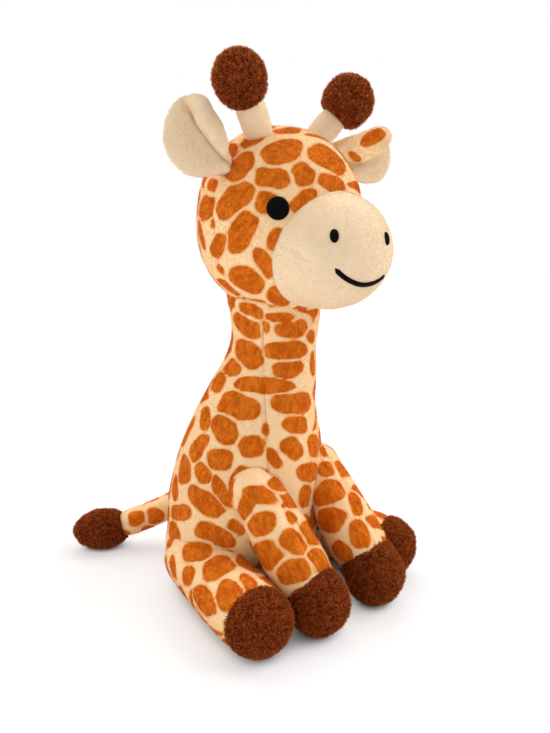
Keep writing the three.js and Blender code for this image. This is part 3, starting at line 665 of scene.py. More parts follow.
class Skin:
    """A closed grid of points: rows along a form, columns round it, and a pole at each end."""

    def __init__(self, rings, start=None, end=None):
        self.rows, self.columns = rings.shape[:2]
        start = rings[0].mean(axis=0) if start is None else start
        end = rings[-1].mean(axis=0) if end is None else end
        self.points = np.concatenate([rings.reshape(-1, 3), [start], [end]])
        rows, columns = self.rows, self.columns
        r, c = np.meshgrid(np.arange(rows - 1), np.arange(columns), indexing="ij")
        a = (r * columns + c).ravel()
        b = (r * columns + (c + 1) % columns).ravel()
        self.quads = np.stack([a, b, b + columns, a + columns], axis=1)
        j = np.arange(columns)
        k = (j + 1) % columns
        first = rows * columns
        base = (rows - 1) * columns
        self.caps = np.concatenate([
            np.stack([np.full(columns, first), k, j], axis=1),
            np.stack([np.full(columns, first + 1), base + j, base + k], axis=1),
        ])
        self.values = {"seam": np.full(len(self.points), NO_SEAM)}

    @property
    def faces(self):
        return self.quads.tolist() + self.caps.tolist()

    def grid(self, values):
        """Values of the points without the poles, in rows and columns."""
        return values[:self.rows * self.columns].reshape(self.rows, self.columns, *values.shape[1:])

    def crosses(self):
        """The cross product of each quad's diagonals."""
        corners = self.points[self.quads]
        return np.cross(corners[:, 2] - corners[:, 0], corners[:, 3] - corners[:, 1])

    def normals(self):
        quad = self.crosses()
        capped = self.points[self.caps]
        cap = np.cross(capped[:, 1] - capped[:, 0], capped[:, 2] - capped[:, 0])
        total = np.zeros_like(self.points)
        for i in range(4):
            np.add.at(total, self.quads[:, i], quad)
        for i in range(3):
            np.add.at(total, self.caps[:, i], cap)
        return unit(total)

    def tree(self):
        return BVHTree.FromPolygons([Vector(p) for p in self.points], self.faces)

    def mesh(self, name):
        mesh = bpy.data.meshes.new(name)
        mesh.from_pydata([tuple(p) for p in self.points], [], self.faces)
        return mesh

    def push(self, depths):
        """Moves each point out along its normal."""
        self.points = self.points + self.normals() * np.reshape(depths, (-1, 1))

    def comb(self, along):
        """Stores coordinates in millimetres that stretch along the lie of the pile."""
        along = unit(np.asarray(along, float))
        side = unit(np.cross(along, (0.31, 0.87, 0.38)))
        third = np.cross(along, side)
        place = self.points / MM
        self.values["grain"] = np.stack([place @ side, place @ third, place @ along * 0.5], axis=1)
        self.pile_way = along

    def build(self, name, material, body, node, slot, more=()):
        """Makes the piece, on its body and in the place of its node."""
        self.values["strand"] = np.full(len(self.points), 0.3)
        mesh = self.mesh(name)
        mesh.shade_smooth()
        for key, value in self.values.items():
            store(mesh.attributes, key, "POINT", value)
        mesh.materials.append(material_of(material))
        piece = placed(name, mesh)
        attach(piece, body)
        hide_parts(node, *more)
        return piece

    def dress(self, cloth, body, node, fill, more=(), length=None, trim=None):
        """Makes the piece of stuffed cloth, with its pile."""
        piece = self.build(f"{node}_skin", f"{cloth}_pile", body, node, f"{cloth}_plush", more)
        add_pile(self, piece, body, cloth, length or sizes().pile, trim)


def vertices_of(mesh):
    places = np.empty(len(mesh.vertices) * 3)
    mesh.vertices.foreach_get("co", places)
    return places.reshape(-1, 3)


def settle(skin, kind, voxel=SETTLE_GRID):
    """Lets the stuffed cloth swell and settle as real cloth does, and carries that to the fine grid."""
    scene = bpy.context.scene
    mesh = skin.mesh("settling")
    trial = placed("settling", mesh)
    remesh = trial.modifiers.new("remesh", "REMESH")
    remesh.mode = "VOXEL"
    remesh.voxel_size = voxel
    trial.data = bpy.data.meshes.new_from_object(trial.evaluated_get(bpy.context.evaluated_depsgraph_get()))
    trial.modifiers.clear()
    start = vertices_of(trial.data)
    cloth = trial.modifiers.new("cloth", "CLOTH")
    cloth.settings.quality = CLOTH_QUALITY
    cloth.settings.tension_stiffness = cloth.settings.compression_stiffness = CLOTH_STRETCH
    cloth.settings.bending_stiffness = CLOTH_BENDING
    cloth.settings.use_pressure = True
    cloth.settings.uniform_pressure_force = SETTLE_PRESSURE
    cloth.settings.effector_weights.gravity = 0
    cloth.point_cache.frame_start = 1
    cloth.point_cache.frame_end = SETTLE_FRAMES
    for number in range(1, SETTLE_FRAMES + 1):
        scene.frame_set(number)
    settled = trial.evaluated_get(bpy.context.evaluated_depsgraph_get())
    shift = vertices_of(settled.data) - start
    bpy.data.objects.remove(trial)
    bpy.data.meshes.remove(mesh)
    scene.frame_set(1)
    most = CLOTH_MOVE[kind]
    shift *= most / np.maximum(np.linalg.norm(shift, axis=1, keepdims=True), most)
    search = KDTree(len(start))
    for i, place in enumerate(start):
        search.insert(place, i)
    search.balance()
    moved = np.empty_like(skin.points)
    for i, place in enumerate(skin.points):
        near = search.find_n(place, SETTLE_NEIGHBOURS)
        weights = np.array([math.exp(-(found[2] / voxel) ** 2) + 1e-9 for found in near])
        moved[i] = weights @ shift[[found[1] for found in near]] / weights.sum()
    skin.points = skin.points + moved


def ring_angles(count):
    return np.arange(count) / count * 2 * math.pi


def ellipse_rings(middles, across, upward, count):
    """Rings about middles, with half sizes given as vectors."""
    angles = ring_angles(count)
    return (middles[:, None] + across[:, None] * np.cos(angles)[None, :, None]
            + upward[:, None] * np.sin(angles)[None, :, None])


def even_path(points):
    """A function of the length along a smooth line through these points, and its whole length."""
    points = np.asarray(points, float)
    padded = np.concatenate([[2 * points[0] - points[1]], points, [2 * points[-1] - points[-2]]])
    t = np.linspace(0, 1, 40, endpoint=False)[:, None]
    line = []
    for p0, p1, p2, p3 in zip(padded, padded[1:], padded[2:], padded[3:]):
        line.append(0.5 * (2 * p1 + (p2 - p0) * t + (2 * p0 - 5 * p1 + 4 * p2 - p3) * t ** 2
                           + (3 * p1 - p0 - 3 * p2 + p3) * t ** 3))
    line = np.concatenate([*line, points[-1:]])
    reach = np.concatenate([[0], np.cumsum(np.linalg.norm(np.diff(line, axis=0), axis=1))])
    whole = reach[-1]

    def on_line(distance):
        inside = np.clip(distance, 0, whole)
        return np.stack([np.interp(inside, reach, line[:, k]) for k in range(3)], axis=-1)

    def at(distance):
        inside = np.clip(distance, 0, whole)
        step = whole / 200
        way = unit(on_line(inside + step) - on_line(inside - step))
        return on_line(inside) + way * (distance - inside)[..., None], way
    return at, whole


def stuffed(path, half_sizes, pitch, start_round=0.0, end_round=0.0, power=2.0):
    """A stuffed form along a path. half_sizes gives half widths across and upward at shares of it."""
    at, length = even_path(path)

    def dome(radius):
        quarter = math.pi / 2
        turns = np.linspace(0, quarter, max(6, int(radius * quarter / pitch)), endpoint=False)[1:]
        return radius * (1 - np.cos(turns)), (1 - np.cos(turns) ** power) ** (1 / power)
    straight = length - start_round - end_round
    steps = int(round(straight / pitch))
    reaches = [start_round + straight * np.arange(steps + 1) / max(steps, 1)]
    fullness = [np.ones(steps + 1)]
    if start_round:
        reach, full = dome(start_round)
        reaches.insert(0, reach)
        fullness.insert(0, full)
    if end_round:
        reach, full = dome(end_round)
        reaches.append(length - reach[::-1])
        fullness.append(full[::-1])
    reaches, fullness = np.concatenate(reaches), np.concatenate(fullness)
    middles, along = at(reaches)
    across = unit(np.array((1.0, 0, 0)) - along * along[:, :1])
    upward = np.cross(along, across)
    half_across, half_upward = half_sizes(np.clip(reaches / length, 0, 1))
    widest = max(np.max(half_across), np.max(half_upward))
    count = int(2 * math.pi * widest / pitch) // 2 * 2
    rings = ellipse_rings(middles, across * (half_across * fullness)[:, None],
                          upward * (half_upward * fullness)[:, None], count)
    ends, _ = at(np.array([0.0, length]))
    return Skin(rings, ends[0], ends[1])


def sight(across, down):
    """The direction from the camera through a place in the picture."""
    return (CAMERA_VIEW + CAMERA_RIGHT * (across - PICTURE[0] / 2) / FOCAL_PIXELS
            - CAMERA_UP * (down - PICTURE[1] / 2) / FOCAL_PIXELS)


def seen_at(points):
    """Where in the picture points lie, and how far ahead of the camera."""
    offset = points - CAMERA_PLACE
    depth = offset @ CAMERA_VIEW
    return np.stack([PICTURE[0] / 2 + FOCAL_PIXELS * (offset @ CAMERA_RIGHT) / depth,
                     PICTURE[1] / 2 - FOCAL_PIXELS * (offset @ CAMERA_UP) / depth], axis=-1), depth


def looker(skin):
    """A function from a mark in the picture to the place on the skin under it, its normal and the mark.

    A mark just outside the skin's outline moves in towards its middle until it meets the skin."""
    tree = skin.tree()
    middle, _ = seen_at(skin.points.mean(axis=0))

    def look(across, down):
        for nudge in np.linspace(0, 0.4, 41):
            u, v = (across, down) + (middle - (across, down)) * nudge
            place, normal, _, _ = tree.ray_cast(Vector(CAMERA_PLACE), Vector(sight(u, v)).normalized())
            if place is not None:
                return np.array(place), np.array(normal), u, v
        raise RuntimeError(f"no cloth under the mark at {across}, {down}")
    return look


def places_seen(skin, marks):
    """Places on the cloth under marks in the picture."""
    look = looker(skin)
    return np.array([look(*mark)[0] for mark in marks])


def ellipses_of(patches):
    """Each ellipse of the patches, with the number of the patch that it belongs to."""
    for group, patch in enumerate(patches):
        for ellipse in patch if isinstance(patch[0], tuple) else (patch,):
            yield group, ellipse


def drawn_patches(skin, patches, panel=None):
    """How far inside the nearest drawn patch each point lies, in metres, negative outside.

    A patch may be several ellipses that run into one. A panel gives how far each point lies beyond
    a seam, and a patch well to one side of the seam stops at it."""
    inside = np.full(len(skin.points), -1.0)
    second = inside.copy()
    owner = np.full(len(inside), -1)
    if not patches:
        return inside
    look = looker(skin)
    normals = skin.normals()
    for group, (across, down, half_length, half_width, turn) in ellipses_of(patches):
        place, normal, u, v = look(across, down)

        def on_cloth(du, dv):
            ray = sight(u + du, v + dv)
            return CAMERA_PLACE + ray * ((place - CAMERA_PLACE) @ normal / (ray @ normal)) - place
        angle = math.radians(turn)
        step = 0.25
        long_way = on_cloth(step * math.cos(angle), -step * math.sin(angle)) / step
        wide_way = on_cloth(step * math.sin(angle), step * math.cos(angle)) / step
        plain = np.linalg.norm(place - CAMERA_PLACE) / FOCAL_PIXELS
        axes = [way * half * min(1, PATCH_STRETCH * plain / np.linalg.norm(way))
                for way, half in ((long_way, half_length), (wide_way, half_width))]
        reach = PATCH_FIELD * max(np.linalg.norm(a) for a in axes)
        apart = np.linalg.norm(skin.points - place, axis=1)
        near = np.flatnonzero((apart < reach) & (normals @ normal > PATCH_FACING))
        offset = skin.points[near] - place
        offset -= (offset @ normal)[:, None] * normal
        solved = np.linalg.lstsq(np.stack(axes, axis=1), offset.T, rcond=None)[0]
        rho = np.maximum((np.abs(solved) ** PATCH_POWER).sum(axis=0) ** (1 / PATCH_POWER), 1e-6)
        around = np.arctan2(solved[1], solved[0])
        rng = np.random.default_rng(int(across * 7 + down * 13))
        for waves, share in PATCH_WAVES:
            rho *= 1 + share * np.sin(waves * around + rng.uniform(0, 2 * math.pi))
        distance = np.linalg.norm(offset, axis=1)
        found = np.where(rho > 0.05, distance / rho - distance, min(map(np.linalg.norm, axes)))
        if panel is not None:
            beyond = panel[apart.argmin()]
            if abs(beyond) > PANEL_OWN:
                found = np.minimum(found, panel[near] * math.copysign(1, beyond) - PANEL_EDGE)
        joined = owner[near] == group
        second[near] = np.maximum(second[near], np.where(joined, -1.0, np.minimum(inside[near], found)))
        owner[near] = np.where(found > inside[near], group, owner[near])
        inside[near] = np.maximum(inside[near], found)
    return np.minimum(inside, (inside - second - PATCH_GAP) / 2)


def beside(points, marks):
    """How far points lie to the left of a line of marks in the picture, in metres."""
    seen, depth = seen_at(points)
    marks = np.array(marks, float)
    starts, steps = marks[:-1], np.diff(marks, axis=0)
    apart = seen[:, None] - starts
    share = np.clip((apart * steps).sum(axis=2) / (steps ** 2).sum(axis=1), 0, 1)
    apart -= share[..., None] * steps
    distance = np.linalg.norm(apart, axis=2)
    nearest = distance.argmin(axis=1)
    order = np.arange(len(points))
    turn = steps[nearest, 0] * apart[order, nearest, 1] - steps[nearest, 1] * apart[order, nearest, 0]
    return distance[order, nearest] * np.sign(turn) * depth / FOCAL_PIXELS


def scatter_patches(skin, drawn, seed, spacing, view, hidden):
    """Adds rounded patches where the picture doesn't show the cloth."""
    rng = np.random.default_rng(seed)
    points = skin.points
    facing = (skin.normals() * unit(CAMERA_PLACE - points)).sum(axis=1) * (1 - hidden) - hidden
    allowed = (facing < view) & (drawn < -PATCH_CLEAR * spacing)
    if not allowed.any():
        return drawn
    areas = np.linalg.norm(skin.crosses(), axis=1)
    seeds = []
    for corner in skin.quads[rng.choice(len(areas), PATCH_TRIES, p=areas / areas.sum()), 0]:
        if not allowed[corner]:
            continue
        room = spacing * rng.uniform(*PATCH_ROOM)
        if all(np.linalg.norm(points[corner] - s) > room for s in seeds):
            seeds.append(points[corner])
    if len(seeds) < 2:
        return drawn
    warp = np.stack([cloud(points, spacing * PATCH_WARP_SIZE, seed + k) for k in range(3)], axis=1)
    warped = points + warp * spacing * PATCH_WARP
    inside = np.empty(len(points))
    nearest = np.empty(len(points), int)
    for part, apart in distances(warped, np.array(seeds)):
        nearest[part] = apart.argmin(axis=1)
        first, second = np.partition(apart, 1, axis=1)[:, :2].T
        inside[part] = np.minimum(spacing * PATCH_HALF - first, (second - first - PATCH_APART) / 2)
    limit = (view + PATCH_OVERLAP - facing) * PATCH_OVERLAP_GAIN
    inside = np.minimum(inside, np.minimum(-drawn - PATCH_APART, limit))
    fullest = np.full(len(seeds), -PATCH_APART)
    np.maximum.at(fullest, nearest, inside)
    inside[fullest[nearest] < SLIVER] = -PATCH_APART
    return np.maximum(drawn, inside)


def out_of_sight(skin, covers):
    """How far each point is hidden from the camera by other pieces: 1 behind them, 0 in view."""
    trees = [cover.tree() for cover in covers]
    way = unit(CAMERA_PLACE - skin.points)
    hidden = np.zeros(len(skin.points))
    for i in np.flatnonzero((skin.normals() * way).sum(axis=1) > 0):
        start, sight_line = Vector(skin.points[i] + way[i] * MM), Vector(way[i])
        hidden[i] = any(tree.ray_cast(start, sight_line)[0] is not None for tree in trees)
    grid = skin.grid(hidden)
    for _ in range(SIGHT_ROUNDS):
        beside_rows = np.concatenate([grid[:1], grid[:-1]]) + np.concatenate([grid[1:], grid[-1:]])
        grid = (grid * 2 + np.roll(grid, 1, axis=1) + np.roll(grid, -1, axis=1) + beside_rows) / 6
    hidden[:grid.size] = grid.ravel()
    return hidden


def spot(skin, patches, seed, spacing=PATCH_SPACING["trunk"], panel=None, view=PATCH_VIEW, hidden=0.0):
    """Stores how far inside a patch each point lies, in millimetres."""
    field = scatter_patches(skin, drawn_patches(skin, patches, panel), seed, spacing, view, hidden)
    wobble = sum(cloud(skin.points, size, seed + k) * share for k, size, share in PATCH_WOBBLE)
    skin.values["patch"] = np.clip(field / MM, -PATCH_REACH, PATCH_REACH) + wobble


def sew(skin, knots, shape, seed=1):
    """Draws the skin in along a seam: a narrow groove, and a wide uneven pull on each side."""
    depth, width, pull, reach = shape
    at, length = even_path(knots)
    tree = skin.tree()
    line = np.array([tree.find_nearest(Vector(p))[0] for p in at(np.arange(0, length, SEAM_STEP))[0]])
    low, high = line.min(axis=0) - 3 * reach, line.max(axis=0) + 3 * reach
    near = np.flatnonzero(((skin.points > low) & (skin.points < high)).all(axis=1))
    distance = np.empty(len(near))
    closest = np.empty(len(near), int)
    for part, apart in distances(skin.points[near], line):
        closest[part] = apart.argmin(axis=1)
        distance[part] = apart.min(axis=1)
    uneven = cloud(line[closest] + 0.013, SEAM_PUCKER, seed) * 0.5 + 0.75
    depths = np.zeros(len(skin.points))
    groove, hollow = np.exp(-(distance / width) ** 2), np.exp(-(distance / reach) ** 2)
    depths[near] = -depth * groove - pull * uneven * hollow
    skin.push(depths)
    seam = skin.values["seam"]
    seam[near] = np.minimum(seam[near], distance / MM)


def lumps(skin, kind, seed):
    """Makes the stuffing a little uneven."""
    height, size = LUMPS[kind]
    fine, share = FINE_LUMPS
    field = cloud(skin.points, size, seed) + share * cloud(skin.points, size * fine, seed + 1)
    skin.push(field * height)


def curls(skin, seed):
    """Raises the curled clumps of the brown pile."""
    field = sum(cloud(skin.points, CURL_SIZE * size, seed + k) * share
                for k, (size, share) in enumerate(CURL_WAVES))
    # The same field paints the hollows between the clumps darker in the brown pile, as painted shade
    skin.values["curl"] = field
    skin.push(field * CURL_HEIGHT)


def bulge(skin, place, reach, height):
    """Stuffs the cloth out round a place."""
    skin.push(height * np.exp(-(np.linalg.norm(skin.points - place, axis=1) / reach) ** 2))


def rest_flat(skin):
    skin.points[:, 2] = np.maximum(skin.points[:, 2], 0.0)


def make_room(skin):
    """Draws the backing in, so that the tips of the brown pile reach the full size."""
    skin.push(-sizes().brown_length * PILE_ROOM)


def draw_in(skin, ahead, kind):
    """Dents a sleeve at its hem, and shrinks it where it goes on inside the piece that is sewn to it."""
    depth, width, past, start, end = HEM_SHAPES[kind]
    skin.push(-depth * np.exp(-(ahead / width) ** 2) - past * smooth_step(ahead, start, end))


def start_at_hem(skin, point, along, depth):
    """Tucks what lies before a hem into a narrower sleeve, so that the piece starts at its hem."""
    rows = skin.grid((skin.points - point) @ along).mean(axis=1)
    first = max(int(np.argmax(rows > -HEM_TUCK)), 1)
    rings = skin.grid(skin.points)[first:].copy()
    middles = rings.mean(axis=1, keepdims=True)
    narrow = 1 - depth * (1 - smooth_step(rows[first:], -HEM_TUCK, HEM_FULL))
    rings = middles + (rings - middles) * narrow[:, None, None]
    return Skin(rings, middles[0, 0], skin.points[-1])


class Finish:
    """The nodes of a material or of the world, and how they feed one another."""

    def __init__(self, owner, output="OutputMaterial"):
        owner.use_nodes = True
        self.tree = owner.node_tree
        self.tree.nodes.clear()
        self.output = self.add(output)

    def add(self, kind, inputs=(), **settings):
        """Adds a node. Each of its inputs is given as another node's output or as a plain value."""
        node = self.tree.nodes.new(f"ShaderNode{kind}")
        for key, value in settings.items():
            setattr(node, key, value)
        for key, value in dict(inputs).items():
            if isinstance(value, bpy.types.NodeSocket):
                self.tree.links.new(value, node.inputs[key])
            else:
                node.inputs[key].default_value = value
        return node

    def show(self, surface):
        self.tree.links.new(surface.outputs[0], self.output.inputs["Surface"])

    def attribute(self, name, field="Fac"):
        return self.add("Attribute", attribute_name=name).outputs[field]

    def noise(self, vector, scale, detail=2.0, roughness=0.55, swirl=0.0):
        return self.add("TexNoise", {"Vector": vector, "Scale": scale, "Detail": detail,
                                     "Roughness": roughness, "Distortion": swirl}).outputs["Fac"]

    def calculate(self, operation, first, second, third=0.0):
        return self.add("Math", {0: first, 1: second, 2: third}, operation=operation).outputs[0]

    def sum_of(self, first, second, share):
        """first + (second - 0.5) * share"""
        return self.calculate("MULTIPLY_ADD", second, share, self.calculate("ADD", first, -0.5 * share))

    def between(self, value, low, high):
        return self.add("MapRange", {"Value": value, "From Min": low, "From Max": high},
                        interpolation_type="SMOOTHSTEP").outputs["Result"]

    def blend(self, share, first, second, kind="MIX"):
        return self.add("Mix", {0: share, 6: first, 7: second}, data_type="RGBA", blend_type=kind).outputs[2]

    def fabric(self, colour, height, strength, distance, roughness=0.95, sheen=0.0, tint="FFFFFF",
               sheen_roughness=0.5):
        """A cloth or thread of this colour, with the relief of its fibres."""
        relief = self.add("Bump", {"Strength": strength, "Distance": distance, "Height": height})
        return self.add("BsdfPrincipled", {
            "Base Color": colour,
            "Normal": relief.outputs[0],
            "Roughness": roughness,
            "Sheen Weight": sheen,
            "Sheen Roughness": sheen_roughness,
            "Sheen Tint": shade(tint),
            "Specular IOR Level": 0.04,
        })

    def seen_white(self):
        """1 for the camera and in gloss, and 0 for the light that reaches the toy."""
        path = self.add("LightPath").outputs
        seen = self.calculate("MAXIMUM", path["Is Camera Ray"], path["Is Glossy Ray"])
        return self.calculate("MAXIMUM", seen, path["Is Transmission Ray"])


def spotted_pile(finish):
    """Short pile with tan to brown patches on a cream ground."""
    tone = colours()
    grain = finish.attribute("grain", "Vector")
    fine = finish.noise(grain, 2.1, 3.0, 0.65, swirl=0.8)
    broad = finish.noise(grain, 0.3, 3.0, swirl=1.0)
    edge = finish.sum_of(finish.sum_of(finish.attribute("patch"), fine, 0.9), broad, 0.5)
    ground = finish.blend(finish.between(edge, -1.5, 0.1), tone.ground, tone.ground_tint)
    depth = finish.between(finish.sum_of(broad, fine, 1.1), 0.30, 0.66)
    patch = finish.blend(depth, tone.patch_edge, tone.patch_middle)
    cloth = finish.blend(finish.between(edge, -0.22, 0.22), ground, patch)
    streak = finish.between(finish.sum_of(fine, finish.attribute("strand"), -0.3), 0.58, 0.28)
    streaked = finish.blend(streak, cloth, STREAKED, "MULTIPLY")
    sewn = finish.between(finish.attribute("seam"), 0.42, 0.12)
    final = finish.blend(sewn, streaked, SEWN, "MULTIPLY")
    finish.show(finish.fabric(final, fine, 0.55, 0.0006, sheen=0.3, tint="FFB868"))


def cream_pile(finish):
    """Smooth pale pile of the muzzle, stems and linings."""
    tone = colours()
    grain = finish.attribute("grain", "Vector")
    fine = finish.noise(grain, 3.0)
    parted = finish.between(finish.sum_of(fine, finish.noise(grain, 0.12), 0.5), 0.75, 0.05)
    finish.show(finish.fabric(finish.blend(parted, tone.cream, tone.cream_shade), fine, 0.3, 0.0004,
                              sheen=0.12, tint="FFF0DC"))


def brown_pile(finish):
    """Long curled pile of the knobs, hooves and tuft, with light through its tips. Its roots and hollows hold
    painted shade, its tips a painted highlight.
    """
    tone = colours()
    fine = finish.noise(finish.attribute("grain", "Vector"), 1.6, 3.0, 0.65, swirl=1.0)
    curl = finish.sum_of(finish.attribute("curl"), fine, 2.2)
    # lift carries painted light: low at the roots and in the hollows between clumps as painted shade, high at
    # the tips as a painted highlight
    lift = finish.between(finish.sum_of(curl, finish.attribute("strand"), 1.8), -1.2, 2.4)
    pile = finish.fabric(finish.blend(lift, tone.brown_shaded_depth, tone.brown_lit_tip), fine, 0.6, 0.0007,
                         sheen=0.8, tint="FFA060", sheen_roughness=0.3)
    glow = finish.add("BsdfTranslucent", {"Color": finish.blend(lift, tone.brown_shaded_depth, tone.brown_glow)})
    finish.show(finish.add("MixShader", {"Fac": 0.25, 1: pile.outputs["BSDF"], 2: glow.outputs["BSDF"]}))


def satin_stitches(finish):
    """Black thread that lies close, with a little gloss."""
    tone = colours()
    strand = finish.noise(finish.attribute("grain", "Vector"), 6.0, 1.0)
    thread = finish.blend(strand, tone.thread, tone.thread_light)
    finish.show(finish.fabric(thread, strand, 0.4, 0.0002, roughness=0.45))


FINISHES = {
    "spotted_pile": spotted_pile,
    "cream_pile": cream_pile,
    "brown_pile": brown_pile,
    "satin_stitches": satin_stitches,
}


def material_of(name):
    material = bpy.data.materials.get(name)
    if material is None:
        material = bpy.data.materials.new(name)
        FINISHES[name](Finish(material))
    return material


def add_pile(skin, piece, body, cloth, length, trim):
    """Short hairs over a piece, that give its cloth a soft edge. Long ones lean together in clumps."""
    density, clump, thickness = PILES[cloth]
    rng = np.random.default_rng(len(skin.points))
    areas = np.linalg.norm(skin.crosses(), axis=1) / 2
    count = int(areas.sum() / MM ** 2 * density)
    picked = skin.quads[rng.choice(len(areas), count, p=areas / areas.sum())]
    s, t = rng.random((2, count, 1))
    weights = np.stack([(1 - s) * (1 - t), s * (1 - t), s * t, (1 - s) * t], axis=1)

    def mix(values):
        return (values[picked] * (weights if values.ndim == 2 else weights[..., 0])).sum(axis=1)
    roots, normals = mix(skin.points), unit(mix(skin.normals()))
    lie = skin.pile_way - normals * (normals @ skin.pile_way)[:, None]
    lean = np.stack([cloud(roots, CURL_SIZE, 201 + k) + 0.8 * cloud(roots, CURL_FINE, 205 + k)
                     for k in range(3)], axis=1)
    tips = unit(normals * (1 - clump * 0.7) + lie * HAIR_LIE * (1 - clump) + lean * HAIR_CLUMP * clump
                + rng.normal(0, HAIR_STRAY, (count, 3)))
    reach = length * rng.uniform(*HAIR_LENGTHS, (count, 1))
    if trim is not None:
        reach = reach * mix(trim)[:, None]
    knees = roots + unit(normals + tips) * reach * 0.5
    strands = np.stack([roots - normals * HAIR_ROOT, knees, knees + tips * reach * 0.5], axis=1)
    hair = bpy.data.hair_curves.new(f"{piece.name}_pile")
    hair.add_curves([3] * count)
    hair.points.foreach_set("position", strands.astype(np.float32).ravel())
    hair.points.foreach_set("radius", np.tile(np.array(HAIR_TAPER, np.float32) * thickness * MM, count))
    for key, value in skin.values.items():
        # On the hairs the curl's tone runs from painted shade at the root to a painted highlight at the tip
        if key == "curl":
            store(hair.attributes, key, "POINT", (mix(value)[:, None] * 0.5 + np.array(HAIR_SHADE_TO_HIGHLIGHT)).ravel())
        else:
            store(hair.attributes, key, "CURVE", rng.random(count) if key == "strand" else mix(value))
    hair.materials.append(piece.data.materials[0])
    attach(placed(f"{piece.name}_pile", hair), body)


def trunk_at(height):
    """How far the trunk swells and leans forward at heights, as shares."""
    return read_shares(TRUNK_SHARES, np.clip((height + REST_FLAT) / (NECK_HEIGHT + REST_FLAT), 0, 1)).T


def trunk_half(swell):
    """Half sizes of the trunk across and from front to back, where it swells this much from the neck."""
    size = sizes()
    neck = size.neck_width
    return [neck / 2 + (width - neck) / 2 * swell for width in (size.belly_width, size.belly_depth)]


def trunk_skin(pitch=TRUNK_GRID):
    size = sizes()
    share = np.linspace(0, 1, int(NECK_HEIGHT / pitch)) ** TRUNK_CROWDING
    swell, forward = read_shares(TRUNK_SHARES, share).T
    height = -REST_FLAT + (NECK_HEIGHT + REST_FLAT) * share
    middles = np.stack([np.zeros_like(share), -NECK_FORWARD * forward, height], axis=1)
    dome = size.neck_dome / 2
    quarter = math.pi / 2
    turns = np.linspace(0, quarter, int(dome * quarter / pitch / DOME_SPREAD), endpoint=False)[1:]
    top = np.array((0, -NECK_FORWARD, NECK_HEIGHT)) + np.outer(np.sin(turns), (0, 0, dome))
    floor_shares = np.linspace(0, 1, BASE_ROWS, endpoint=False)[1:]
    base = np.tile(middles[0], (len(floor_shares), 1))
    across, upward = (np.concatenate([half[0] * floor_shares, half, dome * np.cos(turns)])
                      for half in trunk_half(swell))
    count = int(math.pi * size.belly_width / pitch) // 2 * 2
    rings = ellipse_rings(np.concatenate([base, middles, top]), np.outer(across, (1, 0, 0)),
                          np.outer(upward, (0, 1, 0)), count)
    return Skin(rings, base[0], (0, -NECK_FORWARD, NECK_HEIGHT + dome))


def trunk_surface(height, degrees):
    """A place on the trunk at a height and an angle from its front towards its own right."""
    (swell,), (forward,) = trunk_at(height)
    half = trunk_half(swell)
    angle = math.radians(degrees)
    way = np.array((-math.sin(angle), -math.cos(angle)))
    reach = 1 / math.hypot(way[0] / half[0], way[1] / half[1])
    return np.array((way[0] * reach, -NECK_FORWARD * forward + way[1] * reach, height))


def around_trunk(points):
    """How far outside the trunk each point lies."""
    swell, forward = trunk_at(points[:, 2])
    half = trunk_half(swell)
    middle = points[:, 1] + NECK_FORWARD * forward
    return (np.hypot(points[:, 0] / half[0], middle / half[1]) - 1) * (half[0] + half[1]) / 2


def along_leg(points, side):
    """How far outside a hind leg each point lies, and how far out of its crease with the belly."""
    size = sizes()
    hip, hoof = on_side(HIP, side), on_side(HIND_HOOF, side)
    way = unit(hoof - hip)
    offset = points - hip
    ahead = np.clip(offset @ way, 0, np.linalg.norm(hoof - hip))
    outside = np.linalg.norm(offset - ahead[:, None] * way, axis=1) - (size.hip_width + size.leg_width) / 4
    outward = unit(np.array((-way[1], way[0], 0)) * SIDES[side])
    return outside, smooth_step(offset @ outward - 0.5 * (offset @ way), *HIP_OPENS)


def around_head(points):
    """How far outside the head each point lies."""
    size = sizes()
    half = np.array((size.head_width, size.head_depth, size.head_height)) / 2
    return (np.linalg.norm((points - HEAD_MIDDLE) / half, axis=1) - 1) * half.mean()


def fill_crease(skin, outside, openness, crease=HIP_CREASE):
    """Fills the crease between two pieces, from a narrow one to a wide soft one."""
    narrow, wide = crease
    width = narrow + (wide - narrow) * openness
    skin.push(np.clip(width - np.maximum(outside, 0), 0, None) ** 2 / (4 * width))


def beyond_chest_seam(points):
    """How far each point lies from the nearer chest seam, positive towards the back."""
    heights, degrees = np.array(CHEST_SEAM)[::-1].T
    middle = points[:, 1] + NECK_FORWARD * trunk_at(points[:, 2])[1]
    angle = np.arctan2(np.abs(points[:, 0]), -middle)
    return (angle - np.radians(np.interp(points[:, 2], heights, degrees))) * np.hypot(points[:, 0], middle)


def make_trunk():
    skin = trunk_skin()
    for side in SIDES:
        fill_crease(skin, *along_leg(skin.points, side))
    nape = smooth_step(skin.points[:, 1], *NAPE_OPENS)
    under_head = skin.points[:, 2] < HEAD_MIDDLE[2] - NAPE_DROP
    fill_crease(skin, np.where(under_head, around_head(skin.points), 1), nape, NAPE_CREASE)
    settle(skin, "trunk")
    covers = [cover for side in SIDES for cover in (*arm_skins(side)[:2], *hind_leg_skins(side)[:2])]
    hidden = out_of_sight(skin, covers + [head_skin(COVER_GRID), muzzle_skin(COVER_GRID)])
    spot(skin, TRUNK_PATCHES, 21, panel=beyond_chest_seam(skin.points), hidden=hidden)
    lumps(skin, "trunk", 3)
    for mirror in (1, -1):
        line = [trunk_surface(height, degrees) * (mirror, 1, 1) for height, degrees in CHEST_SEAM]
        sew(skin, line, SEAM_SHAPES["chest"], 5 + mirror)
    sew(skin, [trunk_surface(height, 180) for height in np.linspace(*BACK_SEAM)], SEAM_SHAPES["back"], 9)
    skin.comb((0, 0.1, -1))
    rest_flat(skin)
    skin.dress("spotted", "trunk", "trunk", 0.8, ("trunk_stuffing", "pellet_bag"))


def bun(foot, top, width, depth, pitch, start_round, end_round, power):
    """A round stuffed form of even width from a foot to a top."""
    def half(share):
        return np.full_like(share, width / 2), np.full_like(share, depth / 2)
    return stuffed([foot, (foot + top) / 2, top], half, pitch, start_round, end_round, power)


